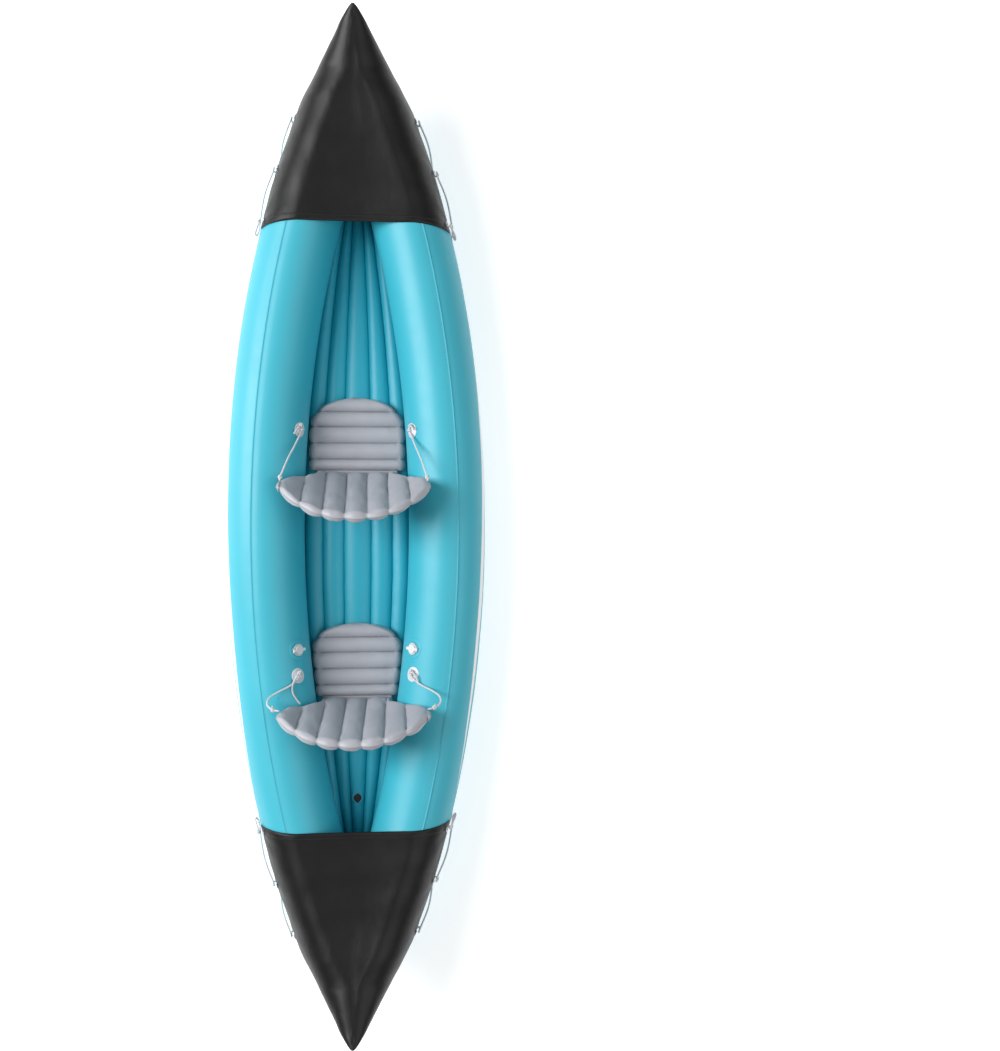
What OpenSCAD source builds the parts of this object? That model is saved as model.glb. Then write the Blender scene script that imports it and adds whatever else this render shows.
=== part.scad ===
// Two-seat inflatable kayak, lying on its bottom skin.
// +Y points to the bow, +X to starboard and +Z up. The origin is under the middle, on the ground.
// Nearly every surface is measured from the two side tubes, whose sections are ellipses.

/* [Hull] */
// Length over both tips
hull_l = 3300; // [3000:10:3600]
// Beam over the side tubes
beam = 886; // [840:1:920]
// Width of one side tube
tube_w = 264; // [250:1:276]
// Height of the tube tops amidships
tube_top_z = 295; // [285:1:310]
// Height of the tube bottoms amidships
tube_bottom_z = 20; // [18:1:24]
// Height of the two tips
tip_z = 502; // [460:1:540]
// Length of the raked stem at each end
stem_l = 340; // [320:1:360]

/* [Floor] */
// Height of the floor chamber's ridges
floor_top_z = 95; // [90:1:98]
// Half width of the floor chamber amidships
floor_half = 190; // [180:1:192]
// Depth of the grooves between the floor's tubes
groove_d = 15; // [8:1:18]
// Half length of the black bottom skin
skin_l = 1345; // [1330:1:1348]
// Half width of the bottom skin amidships
skin_half = 268; // [262:1:275]
// Thickness of the bottom skin
skin_t = 3; // [2:0.5:4]

/* [Covers] */
// Length of each end cover, from the tip to its edge
cover_l = 650; // [600:5:700]
// Thickness of the cover sheet
cover_t = 3; // [2:0.5:4]
// Height of the lower edge beside the cockpit
cover_edge_z = 236; // [225:1:245]
// Diameter of the lacing cord
lacing_d = 6; // [5:0.5:7]
// Diameter of the round welded patches
patch_d = 51; // [44:1:56]

/* [Seats] */
// Fold line of the front seat, from amidships
front_fold_y = 188; // [160:1:220]
// Fold line of the rear seat, from amidships
rear_fold_y = -597; // [-620:1:-560]
// Lean of the front backrest from upright
front_lean = 23; // [15:1:28]
// Lean of the rear backrest from upright
rear_lean = 13; // [12:1:24]
// Length of a seat pan
pan_l = 262; // [240:1:280]
// Half width of a seat pan
pan_half = 166; // [150:1:168]
// Thickness of a seat pan
pan_t = 40; // [30:1:44]
// Height of a backrest along its lean
back_h = 420; // [380:1:440]
// Half width of a backrest at its wings
back_half = 250; // [230:1:255]
// Thickness of a backrest
back_t = 34; // [26:1:36]
// How far the front backrest's wings curl forward, pulled by tight ropes
front_cup = 56; // [40:1:76]
// How far the rear backrest's wings curl forward, on slack ropes
rear_cup = 45; // [10:1:60]
// Diameter of the seat ropes
rope_d = 6; // [5:0.5:7]

/* [Valves] */
// Outer diameter of a side valve's ring
side_valve_d = 41; // [36:1:46]
// Outer diameter of the drain valve's ring
drain_valve_d = 58; // [50:1:62]
// Outer diameter of the floor valve's ring
floor_valve_d = 25; // [22:1:30]
// Outer diameter of a seat valve's ring
seat_valve_d = 17; // [15:1:20]

/* [Hidden] */
$fn = 48;

hull_blue = "mediumturquoise";
cover_black = "#202022";
cushion_grey = "#9aa0a8";
patch_grey = "#d4d7dd";
cord_white = "#eef0f2";

half_l = hull_l / 2;
half_beam = beam / 2;
outline_power = 0.68;       // fullness of the hull's outline
nose_l = 250;               // the outline is drawn in towards each tip over this length
nose_pinch = 0.36;          // share that it has lost at the tip
sheer_power = 3.5;          // how late the tube tops sweep up to the tips
stem_power = 1.7;           // curve of the stem
end_rise = 18;              // how much higher the tube bottoms are near the ends
side_gap = 0.2;             // each side chamber stops this far from the middle plane
last_station = 86;          // the chambers' last section, as an angle of the station rule
cover_gap = 3;              // between a side chamber and the cover over it
cover_outer = cover_gap + cover_t;
cord_offset = 11;           // the middle of a patch's loop, from the tube
patch_gap = 0.8;            // under a welded patch
floor_clear = 3;            // between the floor chamber and the side tubes
floor_valley_z = floor_top_z - groove_d;
skin_valley_z = 14;         // height of the bottom skin's grooves
skin_flange = 30;           // the flat black border outside the ridges
skin_clear = 1.5;           // between the border and the tube that it is welded to
fold_z = 120;               // height of the seats' fold lines
pan_gap = 36;               // from a fold line to its seat pan
back_gap = 12;              // from a fold line to its backrest
seat_valve_x = 60;          // place of a seat valve on the backrest's rear face
seat_valve_h = 110;
side_valve_y = -414;
side_valve_phi = 139;
drain_valve_y = 1075;
drain_valve_phi = -74;
floor_valve_y = -952;

// Sections of an end cover, as distances from the tip.
cover_rows = [650, 615, 575, 530, 480, 430, 380, 330, 285, 240, 200, 165, 142, 127, 117, 110, 104,
    92, 76, 60, 45, 31, 19, 10, 4, 0];

// Lacing stations: distance from the tip, height.
eyelets = [[125, 299], [282, 271], [448, 258], [624, 256]];
lacing_patches = [[252, 208], [421, 167], [642, 169]];

// Seat rope patches: place along the hull and angle on the tube.
front_patch = [327, 147];
rear_patch = [-499, 134];

// ---- the side tubes ----

function unit(v) = v / norm(v);
function clamp(v, lo, hi) = min(hi, max(lo, v));
function nose(y) = 1 - nose_pinch * pow(max(0, 1 - (half_l - abs(y)) / nose_l), 1.3);
function outline(y) = half_beam * nose(y) * pow(max(0, 1 - pow(y / half_l, 2)), outline_power);
function tube_a(y) = min(tube_w / 2, outline(y));
function tube_x(y) = outline(y) - tube_a(y);
function tube_top(y) = tube_top_z + (tip_z - tube_top_z) * pow(abs(y) / half_l, sheer_power);
function keel(y) = tube_bottom_z + end_rise * min(1, pow(abs(y) / (0.6 * half_l), 2));
function stem(y) = pow(max(0, 1 - (half_l - abs(y)) / stem_l), stem_power);
function tube_bottom(y) = keel(y) + (tip_z - keel(y)) * stem(y);
function tube_b(y) = (tube_top(y) - tube_bottom(y)) / 2;
function tube_z(y) = (tube_top(y) + tube_bottom(y)) / 2;

// A point on the starboard tube, at an angle from straight outboard, raised off the surface.
function on_tube(y, phi, off = 0) =
    [tube_x(y) + (tube_a(y) + off) * cos(phi), y, tube_z(y) + (tube_b(y) + off) * sin(phi)];

// The angle on the outer side of the tube where its surface is at height z.
function phi_at(y, z) = asin(clamp((z - tube_z(y)) / max(tube_b(y), 1), -0.9998, 0.9));

// Half the gap between the tubes at height z.
function tube_inner(y, z) =
    let (h = (z - tube_z(y)) / tube_b(y))
    abs(h) >= 1 ? half_beam : tube_x(y) - tube_a(y) * sqrt(1 - h * h);

// Height of the tubes' underside at a distance x from the middle plane.
function tube_under(x, y) =
    let (s = clamp((abs(x) - tube_x(y)) / tube_a(y), -0.96, 0.96))
    tube_z(y) - tube_b(y) * sqrt(1 - s * s);

// Frame on the tube: X down the girth, Y along the hull, Z outward.
function tube_frame(y, phi, off) =
    let (
        p = on_tube(y, phi, off),
        along = unit(on_tube(y + 1, phi, off) - on_tube(y - 1, phi, off)),
        around = on_tube(y, phi + 0.5, off) - on_tube(y, phi - 0.5, off),
        out = unit(cross(along, around)),
        down = cross(along, out)
    )
    [
        [down.x, along.x, out.x, p.x],
        [down.y, along.y, out.y, p.y],
        [down.z, along.z, out.z, p.z],
        [0, 0, 0, 1]
    ];

module on_hull(y, phi, off = 0) multmatrix(tube_frame(y, phi, off)) children();

module port() mirror([1, 0, 0]) children();
module astern() mirror([0, 1, 0]) children();
module both_sides() {
    children();
    port() children();
}

// ---- solids from rows of points ----

function quad(a, b, c, d) = [[a, b, c], [a, c, d]];

// A solid skinned over closed rings of points.
module ring_solid(rings) {
    n = len(rings[0]);
    last = (len(rings) - 1) * n;
    faces = [
        [for (j = [n - 1:-1:0]) j],
        for (i = [0:len(rings) - 2], j = [0:n - 1])
            let (k = (j + 1) % n)
            each quad(i * n + j, i * n + k, (i + 1) * n + k, (i + 1) * n + j),
        [for (j = [0:n - 1]) last + j]
    ];
    polyhedron([for (r = rings) each r], faces, convexity = 10);
}

// A sheet between two grids of points of the same size.
module sheet_solid(outer, inner) {
    cols = len(outer[0]);
    rows = len(outer);
    n = rows * cols;
    c = cols - 1;
    e = (rows - 1) * cols;
    faces = [
        for (i = [0:rows - 2], j = [0:cols - 2])
            let (a = i * cols + j, b = a + cols)
            each concat(quad(a, a + 1, b + 1, b), quad(n + a, n + b, n + b + 1, n + a + 1)),
        for (j = [0:cols - 2])
            each concat(quad(j + 1, j, n + j, n + j + 1), quad(e + j, e + j + 1, n + e + j + 1, n + e + j)),
        for (i = [0:rows - 2])
            let (a = i * cols, b = a + cols)
            each concat(quad(a, b, n + b, n + a), quad(b + c, a + c, n + a + c, n + b + c))
    ];
    polyhedron([for (r = concat(outer, inner)) each r], faces, convexity = 10);
}

// Points of a smooth curve through the given ones.
function spline(p, steps) = [
    for (i = [0:len(p) - 2], s = [0:steps - 1])
        let (
            t = s / steps,
            a = p[max(i - 1, 0)],
            b = p[i],
            c = p[i + 1],
            d = p[min(i + 2, len(p) - 1)]
        )
        0.5 * (2 * b + (c - a) * t + (2 * a - 5 * b + 4 * c - d) * t * t
            + (3 * b - a - 3 * c + d) * t * t * t),
    p[len(p) - 1]
];

// A round cord along a path, with a knot swelling at each end.
module cord(path, d, sides = 8, knot = 2.1, knot_l = 2) {
    n = len(path) - 1;
    function swell(k) = k > knot_l ? 1 : 1 + (knot - 1) * sin(180 * (k + 0.25) / (knot_l + 0.5));
    rings = [
        for (i = [0:n])
            let (
                t = unit(path[min(i + 1, n)] - path[max(i - 1, 0)]),
                u = unit(cross(t, [1, 0, 0])),
                v = cross(t, u),
                r = d / 2 * swell(min(i, n - i))
            )
            [for (s = [0:sides - 1]) path[i] + r * (u * cos(360 * s / sides) + v * sin(360 * s / sides))]
    ];
    ring_solid(rings);
}

// ---- side chambers ----

module tube_blank() {
    steps = 44;
    sides = 26;
    ring_solid([
        for (i = [0:steps])
            let (y = half_l * sin(last_station * (2 * i / steps - 1)))
            [
                for (j = [0:sides - 1])
                    let (p = on_tube(y, 360 * j / sides))
                    [max(p.x, side_gap), p.y, p.z]
            ]
    ]);
}

module starboard_side_chamber() {
    color(hull_blue)
        difference() {
            tube_blank();
            on_hull(side_valve_y, side_valve_phi) valve_pocket(side_valve_d);
        }
}

module port_side_chamber() {
    color(hull_blue)
        port()
        difference() {
            tube_blank();
            on_hull(side_valve_y, side_valve_phi) valve_pocket(side_valve_d);
            on_hull(drain_valve_y, drain_valve_phi) rotate(90) valve_pocket(drain_valve_d);
        }
}

// ---- floor and bottom ----

// Edges of the floor's five tubes, as shares of its half width.
ridge_edges = [0, 0.25, 0.64, 1];
ridge_cols = [-1, -0.91, -0.82, -0.73, -0.64, -0.51, -0.38, -0.25, -0.125,
    0, 0.125, 0.25, 0.38, 0.51, 0.64, 0.73, 0.82, 0.91, 1];

function lobe(q) = min(1, 1.12 * pow(max(0, sin(180 * q)), 0.7));

// Position inside a ridge, from 0 at one groove to 1 at the next.
function ridge_q(f) =
    let (a = abs(f))
    a <= ridge_edges[1] ? (f + ridge_edges[1]) / (2 * ridge_edges[1])
    : a <= ridge_edges[2] ? (a - ridge_edges[1]) / (ridge_edges[2] - ridge_edges[1])
    : (a - ridge_edges[2]) / (1 - ridge_edges[2]);

function floor_x(y) = clamp(tube_inner(y, floor_top_z - 5) - floor_clear, 4, floor_half);
function skin_rise(y) = 50 * pow(max(0, (abs(y) - 1150) / 195), 2);
function mix(a, b, q) = a + (b - a) * q;

function floor_top(f) =
    let (q = ridge_q(f), base = abs(f) > ridge_edges[2] ? mix(floor_valley_z, 55, q) : floor_valley_z)
    mix(base, floor_top_z, lobe(q));

// The outer tubes lie higher where the floor narrows.
function floor_bottom(f, y) =
    let (
        q = ridge_q(f),
        outer = abs(f) > ridge_edges[2],
        narrow = clamp((60 - floor_x(y)) / 40, 0, 1),
        base = outer ? mix(20.5, 45, q) : 20.5
    )
    mix(base, outer ? mix(14, 22, narrow) : skin_t + 3.5 + 6 * narrow, lobe(q));

module floor_chamber() {
    rows = 24;
    floor_l = 1260;
    ys = [for (i = [0:rows]) floor_l * sin(90 * (2 * i / rows - 1))];
    color("#2aa0b8")
        difference() {
            sheet_solid(
                [for (y = ys) [for (f = ridge_cols) [f * floor_x(y), y, floor_top(f)]]],
                [for (y = ys) [for (f = ridge_cols) [f * floor_x(y), y, floor_bottom(f, y) + skin_rise(y)]]]
            );
            translate([0, floor_valve_y, floor_top_z]) rotate(-90) valve_pocket(floor_valve_d);
        }
}

// Lower surface of the bottom skin at a share of its half width, from -1 to 1.
function skin_point(k, y) =
    let (
        half = skin_half * pow(1 - pow(y / (skin_l + 1), 2), 0.75),
        rim = half - min(skin_flange, 0.25 * half),
        inner = min(ridge_edges[2] * floor_x(y), 0.7 * rim),
        a = abs(k),
        s = k < 0 ? -1 : 1,
        rim_z = tube_under(rim, y) - skin_t - skin_clear
    )
    a <= ridge_edges[2]
        ? [k / ridge_edges[2] * inner, y, skin_valley_z * (1 - lobe(ridge_q(k))) + skin_rise(y)]
    : a <= 1
        ? let (q = ridge_q(k))
            [s * mix(inner, rim, q), y, mix(mix(skin_valley_z + skin_rise(y), rim_z, q), 1 + skin_rise(y), lobe(q))]
    : [s * half, y, tube_under(half, y) - skin_t - skin_clear];

module bottom_skin() {
    rows = 26;
    cols = concat([-2], ridge_cols, [2]);
    ys = [for (i = [0:rows]) skin_l * sin(90 * (2 * i / rows - 1))];
    color(cover_black)
        sheet_solid(
            [for (y = ys) [for (k = cols) skin_point(k, y) + [0, 0, skin_t]]],
            [for (y = ys) [for (k = cols) skin_point(k, y)]]
        );
}

// Blue strip over the seam where the two side tubes meet, between a cover and the bottom skin.
module seam_tape() {
    half = 27;
    from = 115;
    to = 296;
    rows = 9;
    function low(x, y, drop) = [x, y, tube_under(max(abs(x), 10), y) - drop];
    ys = [for (i = [0:rows]) half_l - mix(to, from, i / rows)];
    xs = [-half, -half / 2, 0, half / 2, half];
    color("#34b3cc")
        sheet_solid(
            [for (y = ys) [for (x = xs) low(x, y, 3)]],
            [for (y = ys) [for (x = xs) low(x, y, 6.5)]]
        );
}
module bow_seam_tape() { seam_tape(); }
module stern_seam_tape() { astern() seam_tape(); }

// ---- end covers ----

// Height of a cover's lower edge at a distance d from the tip.
function cover_edge(d) = cover_edge_z + 46 * pow(max(0, 1 - max(0, d - 110) / 450), 2);

// One row of the cover, from its starboard edge over the top to its port edge.
function cover_row(y, off) =
    let (
        lo = phi_at(y, cover_edge(half_l - y)),
        x0 = max(tube_x(y), 0.8),
        a = max(tube_a(y) + tube_x(y) - x0, 0.1) + off,
        b = tube_b(y) + off,
        steps = 9,
        side = [for (i = [0:steps]) let (p = mix(lo, 90, i / steps)) [x0 + a * cos(p), y, tube_z(y) + b * sin(p)]],
        top = [for (s = [0.5, 0, -0.5]) [s * x0, y, tube_z(y) + b]]
    )
    concat(side, top, [for (i = [steps:-1:0]) [-side[i].x, side[i].y, side[i].z]]);

module end_cover() {
    ys = [for (d = cover_rows) half_l - d * cover_l / cover_rows[0]];
    color(cover_black)
        sheet_solid(
            [for (y = ys) cover_row(y, cover_gap)],
            [for (y = ys) cover_row(y, cover_outer)]
        );
}
module bow_cover() { end_cover(); }
module stern_cover() { astern() end_cover(); }

module eyelet() {
    difference() {
        cylinder(r = 8, h = 2);
        translate([0, 0, -1]) cylinder(r = 4.5, h = 4);
    }
}

module cover_eyelets() {
    color("#c9ccd0")
        both_sides()
        for (e = eyelets)
            let (y = half_l - e[0])
            on_hull(y, phi_at(y, e[1]), cover_outer + 0.6) eyelet();
}
module bow_cover_eyelets() { cover_eyelets(); }
module stern_cover_eyelets() { astern() cover_eyelets(); }

// ---- patches and cords ----

// A round patch bent to the tube, with a moulded loop that a cord runs through along the hull.
module patch(y, phi) {
    bend = tube_w / 2;
    on_hull(y, phi)
        difference() {
            union() {
                cylinder(d = patch_d, h = 2.8);
                translate([0, 0, -4]) cylinder(d = patch_d, h = 4.2);
                cylinder(d1 = patch_d, d2 = 0.5 * patch_d, h = 4);
                translate([0, 0, cord_offset]) patch_loop();
            }
            translate([0, 0, patch_gap - bend]) rotate([90, 0, 0]) cylinder(r = bend, h = 80, center = true, $fn = 120);
        }
}

module patch_loop() {
    outer = 8.2;
    width = 6;
    difference() {
        union() {
            rotate([90, 0, 0]) cylinder(r = outer, h = width, center = true);
            translate([-outer, -width / 2, -8]) cube([2 * outer, width, 8]);
        }
        rotate([90, 0, 0]) cylinder(r = 5.2, h = 2 * width, center = true);
    }
}

module end_patches() {
    color(patch_grey)
        both_sides()
        for (p = lacing_patches)
            let (y = half_l - p[0])
            patch(y, phi_at(y, p[1]));
}
module bow_lacing_patches() { end_patches(); }
module stern_lacing_patches() { astern() end_patches(); }

module seat_rope_patches() {
    color(patch_grey)
        both_sides() {
            patch(front_patch[0], front_patch[1]);
            patch(rear_patch[0], rear_patch[1]);
        }
}

// The lacing's turns at the eyelets and patches: distance from the tip, height, lift off the tube.
lacing_turns = [[110, 306, 19], [119, 303, 17], [135, 293, 14], [190, 246, 15], [236, 215, 12],
    [252, 208, 11], [267, 203, 12], [279, 212, 14], [283, 240, 14], [281, 262, 14], [289, 274, 14],
    [303, 264, 14], [350, 216, 17], [404, 174, 12], [421, 167, 11], [436, 172, 12], [445, 208, 15],
    [446, 244, 14], [457, 259, 14], [473, 252, 14], [540, 205, 18], [624, 173, 12], [642, 169, 11],
    [656, 177, 12], [657, 205, 14], [643, 238, 15], [629, 257, 18]];

module lacing() {
    color(cord_white)
        cord([
            for (p = spline(lacing_turns, 2))
                let (y = half_l - p[0])
                on_tube(y, phi_at(y, p[1]), p[2])
        ], lacing_d, knot = 1.6);
}
module bow_starboard_lacing_cord() { lacing(); }
module bow_port_lacing_cord() { port() lacing(); }
module stern_starboard_lacing_cord() { astern() lacing(); }
module stern_port_lacing_cord() { port() astern() lacing(); }

// Seat ropes of the starboard side, from the patch's loop to the backrest's wing.
front_rope = [[180, 345, 239], [181, 327, 238], [186, 311, 246], [201, 268, 288], [218, 224, 334],
    [230, 184, 374], [237, 160, 396], [238, 149, 402]];
rear_rope = [[187, -482, 269], [185, -499, 266], [193, -512, 274], [216, -529, 294], [250, -546, 316],
    [273, -562, 340], [274, -579, 370], [257, -590, 394], [239, -594, 402]];

module front_rope() { color(cord_white) cord(spline(front_rope, 4), rope_d); }
module rear_rope() { color(cord_white) cord(spline(rear_rope, 4), rope_d); }
module front_starboard_seat_rope() { front_rope(); }
module front_port_seat_rope() { port() front_rope(); }
module rear_starboard_seat_rope() { rear_rope(); }
module rear_port_seat_rope() { port() rear_rope(); }

// ---- seats ----

// Half width of a seat pan at a distance s in front of its fold line.
function pan_x(s, fold_y) =
    let (
        round_l = 0.45 * pan_l,
        q = max(0, s - (pan_l - round_l)) / round_l,
        room = tube_inner(fold_y + s, floor_top_z + pan_t) - 3
    )
    min(pan_half, room) * sqrt(max(0, 1 - q * q));

module seat_pan(fold_y) {
    steps = 22;
    ss = [for (i = [0:steps]) pan_gap + (pan_l - pan_gap) * sin(90 * i / steps)];
    right = [for (s = ss) if (pan_x(s, fold_y) > 1) [pan_x(s, fold_y), fold_y + s]];
    left = [for (i = [len(right) - 1:-1:0]) [-right[i].x, right[i].y]];
    color(cushion_grey)
        translate([0, 0, floor_top_z + 2])
        linear_extrude(pan_t)
        polygon(concat(right, [[0, fold_y + pan_l]], left));
}
module front_seat_pan() { seat_pan(front_fold_y); }
module rear_seat_pan() { seat_pan(rear_fold_y); }

// Frame of a backrest: X to starboard, Y forward off its face, Z up along its lean.
module on_back(fold_y, lean) translate([0, fold_y, fold_z]) rotate([lean, 0, 0]) children();

// Half width of a backrest at height h: narrow between the side tubes, wide above them.
function back_x(h, waist) = mix(waist, back_half, pow(sin(90 * clamp((h - 80) / 185, 0, 1)), 2));

module backrest(fold_y, lean, wing_cup) {
    cols = 10;
    rows = 9;
    waist = min(140, tube_inner(fold_y, 160) - 18);
    function crown(v) = back_h * (1 - 0.31 * pow(abs(v), 3));
    function at(v, t, side) =
        let (h = mix(back_gap, crown(v), t), cup = wing_cup * v * v * min(1, h / 220))
        [v * back_x(h, waist), cup + side * back_t / 2, h];
    grid = [
        for (side = [1, -1])
            [for (i = [0:rows]) [for (j = [0:cols]) at(2 * j / cols - 1, i / rows, side)]]
    ];
    color(cushion_grey)
        on_back(fold_y, lean)
        difference() {
            sheet_solid(grid[1], grid[0]);
            on_back_rear() valve_pocket(seat_valve_d);
        }
}
module on_back_rear() {
    translate([seat_valve_x, -back_t / 2 + 2, seat_valve_h]) rotate([90, 0, 0]) children();
}
module front_seat_back() { backrest(front_fold_y, front_lean, front_cup); }
module rear_seat_back() { backrest(rear_fold_y, rear_lean, rear_cup); }

// ---- valves: all are one flip-plug design, drawn 41 wide and scaled ----

valve_r = 20.5;
bore_r = 11;
neck_r = 14;
neck_l = 16;
rim_z = 4;
hinge_x = 23.7;
hinge_z = 3.5;
pin_r = 1;
pin_clear = 0.07;
plug_r = 9.6;
cap_gap = 0.75;

module valve_scale(d) scale(d / (2 * valve_r)) children();

// The hollow in a chamber that takes the valve.
module valve_pocket(d) {
    valve_scale(d) {
        translate([0, 0, -neck_l - 1.5]) cylinder(r = neck_r + 0.5, h = neck_l + 3);
        translate([0, 0, -2.6]) cylinder(r = valve_r + 0.6, h = 12);
    }
}

module valve_body(d) {
    valve_scale(d) {
        difference() {
            union() {
                translate([0, 0, -neck_l]) cylinder(r = neck_r, h = neck_l);
                translate([0, 0, -2]) cylinder(r = valve_r, h = rim_z + 2);
                for (s = [-1, 1])
                    translate([valve_r - 2, s * 6.3 - 1.3, 0]) cube([hinge_x - valve_r + 4.2, 2.6, 5.6]);
            }
            translate([0, 0, 1 - neck_l]) cylinder(r = bore_r, h = neck_l + 12);
            translate([0, 0, -neck_l - 1]) cylinder(r = 7.5, h = 6);
        }
        translate([hinge_x, 0, hinge_z]) rotate([90, 0, 0]) cylinder(r = pin_r, h = 13, center = true);
    }
}

// The one-way membrane lies on the lip at the bottom of the neck.
module valve_membrane(d) {
    valve_scale(d) translate([0, 0, 1.3 - neck_l]) cylinder(r = 10, h = 1);
}

module valve_plug(d) {
    valve_scale(d)
        difference() {
            union() {
                translate([0, 0, -2]) cylinder(r = plug_r, h = 7);
                translate([0, 0, rim_z + cap_gap]) cylinder(r = 15, h = 3);
                translate([10, -4.2, rim_z + cap_gap]) cube([hinge_x - 10, 8.4, 2]);
                translate([hinge_x, 0, hinge_z]) rotate([90, 0, 0]) cylinder(r = 2.4, h = 8.4, center = true);
                translate([-23, -5, rim_z + 1.2]) cube([13, 10, 2]);
                translate([-23, 0, rim_z + 1.2]) cylinder(r = 5, h = 2);
            }
            translate([hinge_x, 0, hinge_z]) rotate([90, 0, 0]) cylinder(r = pin_r + pin_clear, h = 12, center = true);
        }
}

module at_starboard_valve() on_hull(side_valve_y, side_valve_phi) children();
module at_port_valve() port() at_starboard_valve() children();
module at_drain_valve() port() on_hull(drain_valve_y, drain_valve_phi) rotate(90) children();
module at_floor_valve() translate([0, floor_valve_y, floor_top_z]) rotate(-90) children();
module at_front_seat_valve() on_back(front_fold_y, front_lean) on_back_rear() children();
module at_rear_seat_valve() on_back(rear_fold_y, rear_lean) on_back_rear() children();

module port_valve_base() { color(patch_grey) at_port_valve() valve_body(side_valve_d); }
module port_valve_flap() { color("#555a60") at_port_valve() valve_membrane(side_valve_d); }
module port_valve_cap() { color("white") at_port_valve() valve_plug(side_valve_d); }
module starboard_valve_base() { color(patch_grey) at_starboard_valve() valve_body(side_valve_d); }
module starboard_valve_flap() { color("#555a60") at_starboard_valve() valve_membrane(side_valve_d); }
module starboard_valve_cap() { color("white") at_starboard_valve() valve_plug(side_valve_d); }
module floor_valve_base() { color(cover_black) at_floor_valve() valve_body(floor_valve_d); }
module floor_valve_flap() { color("#555a60") at_floor_valve() valve_membrane(floor_valve_d); }
module floor_valve_cap() { color("#303034") at_floor_valve() valve_plug(floor_valve_d); }
module drain_valve_base() { color(patch_grey) at_drain_valve() valve_body(drain_valve_d); }
module drain_valve_flap() { color("#555a60") at_drain_valve() valve_membrane(drain_valve_d); }
module drain_valve_cap() { color("silver") at_drain_valve() valve_plug(drain_valve_d); }
module front_seat_valve_base() { color(patch_grey) at_front_seat_valve() valve_body(seat_valve_d); }
module front_seat_valve_stopper() { color("white") at_front_seat_valve() valve_plug(seat_valve_d); }
module rear_seat_valve_base() { color(patch_grey) at_rear_seat_valve() valve_body(seat_valve_d); }
module rear_seat_valve_stopper() { color("white") at_rear_seat_valve() valve_plug(seat_valve_d); }

port_side_chamber();
starboard_side_chamber();
floor_chamber();
bottom_skin();
bow_seam_tape();
stern_seam_tape();
bow_cover();
stern_cover();
bow_cover_eyelets();
stern_cover_eyelets();
bow_lacing_patches();
stern_lacing_patches();
seat_rope_patches();
bow_port_lacing_cord();
bow_starboard_lacing_cord();
stern_port_lacing_cord();
stern_starboard_lacing_cord();
front_seat_pan();
front_seat_back();
rear_seat_pan();
rear_seat_back();
front_port_seat_rope();
front_starboard_seat_rope();
rear_port_seat_rope();
rear_starboard_seat_rope();
port_valve_base();
port_valve_flap();
port_valve_cap();
starboard_valve_base();
starboard_valve_flap();
starboard_valve_cap();
floor_valve_base();
floor_valve_flap();
floor_valve_cap();
drain_valve_base();
drain_valve_flap();
drain_valve_cap();
front_seat_valve_base();
front_seat_valve_stopper();
rear_seat_valve_base();
rear_seat_valve_stopper();
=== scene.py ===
"""Two-seat inflatable kayak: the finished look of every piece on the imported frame."""

import math

import bmesh
import bpy
from mathutils import Matrix, Vector, noise


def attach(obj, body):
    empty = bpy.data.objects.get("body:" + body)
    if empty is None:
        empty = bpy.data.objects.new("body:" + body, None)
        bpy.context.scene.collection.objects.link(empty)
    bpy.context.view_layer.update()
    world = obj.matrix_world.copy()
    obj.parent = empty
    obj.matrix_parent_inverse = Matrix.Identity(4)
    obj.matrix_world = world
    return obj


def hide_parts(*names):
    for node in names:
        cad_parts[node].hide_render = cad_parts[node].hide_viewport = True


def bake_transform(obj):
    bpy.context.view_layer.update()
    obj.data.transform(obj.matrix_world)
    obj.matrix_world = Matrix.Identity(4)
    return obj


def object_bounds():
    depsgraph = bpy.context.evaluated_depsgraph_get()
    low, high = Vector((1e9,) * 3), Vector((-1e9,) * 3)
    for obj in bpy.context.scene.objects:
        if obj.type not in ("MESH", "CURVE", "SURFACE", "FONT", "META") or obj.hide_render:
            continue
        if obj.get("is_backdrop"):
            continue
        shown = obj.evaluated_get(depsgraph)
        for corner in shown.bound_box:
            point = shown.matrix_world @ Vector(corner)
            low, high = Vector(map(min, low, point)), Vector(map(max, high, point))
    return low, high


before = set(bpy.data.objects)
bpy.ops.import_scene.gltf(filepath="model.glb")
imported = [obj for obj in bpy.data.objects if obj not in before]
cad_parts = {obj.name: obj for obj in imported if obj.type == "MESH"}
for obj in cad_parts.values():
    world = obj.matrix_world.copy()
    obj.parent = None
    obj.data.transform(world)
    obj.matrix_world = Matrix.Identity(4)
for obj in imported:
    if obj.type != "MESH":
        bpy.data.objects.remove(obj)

bl_info = {
    "name": "Inflatable Kayak",
    "version": (1, 0, 0),
    "blender": (4, 5, 0),
    "location": "View3D > Sidebar > Kayak",
    "description": "Builds the chambers, covers, seats, ropes and fittings of a two-seat inflatable kayak",
    "category": "Add Mesh",
}

CAD_LOW, CAD_HIGH = (Vector(corner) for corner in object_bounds())
MM = 0.001


# ---------------------------------------------------------------- sizes and colours


def metres(name, description, default, low=0.0001, high=5.0):
    return bpy.props.FloatProperty(
        name=name,
        description=description,
        default=default,
        min=low,
        max=high,
        unit="LENGTH",
        subtype="DISTANCE",
        precision=4,
    )


def colour(name, description, default):
    return bpy.props.FloatVectorProperty(
        name=name,
        description=description,
        default=default,
        size=3,
        min=0.0,
        max=1.0,
        subtype="COLOR",
    )


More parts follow.
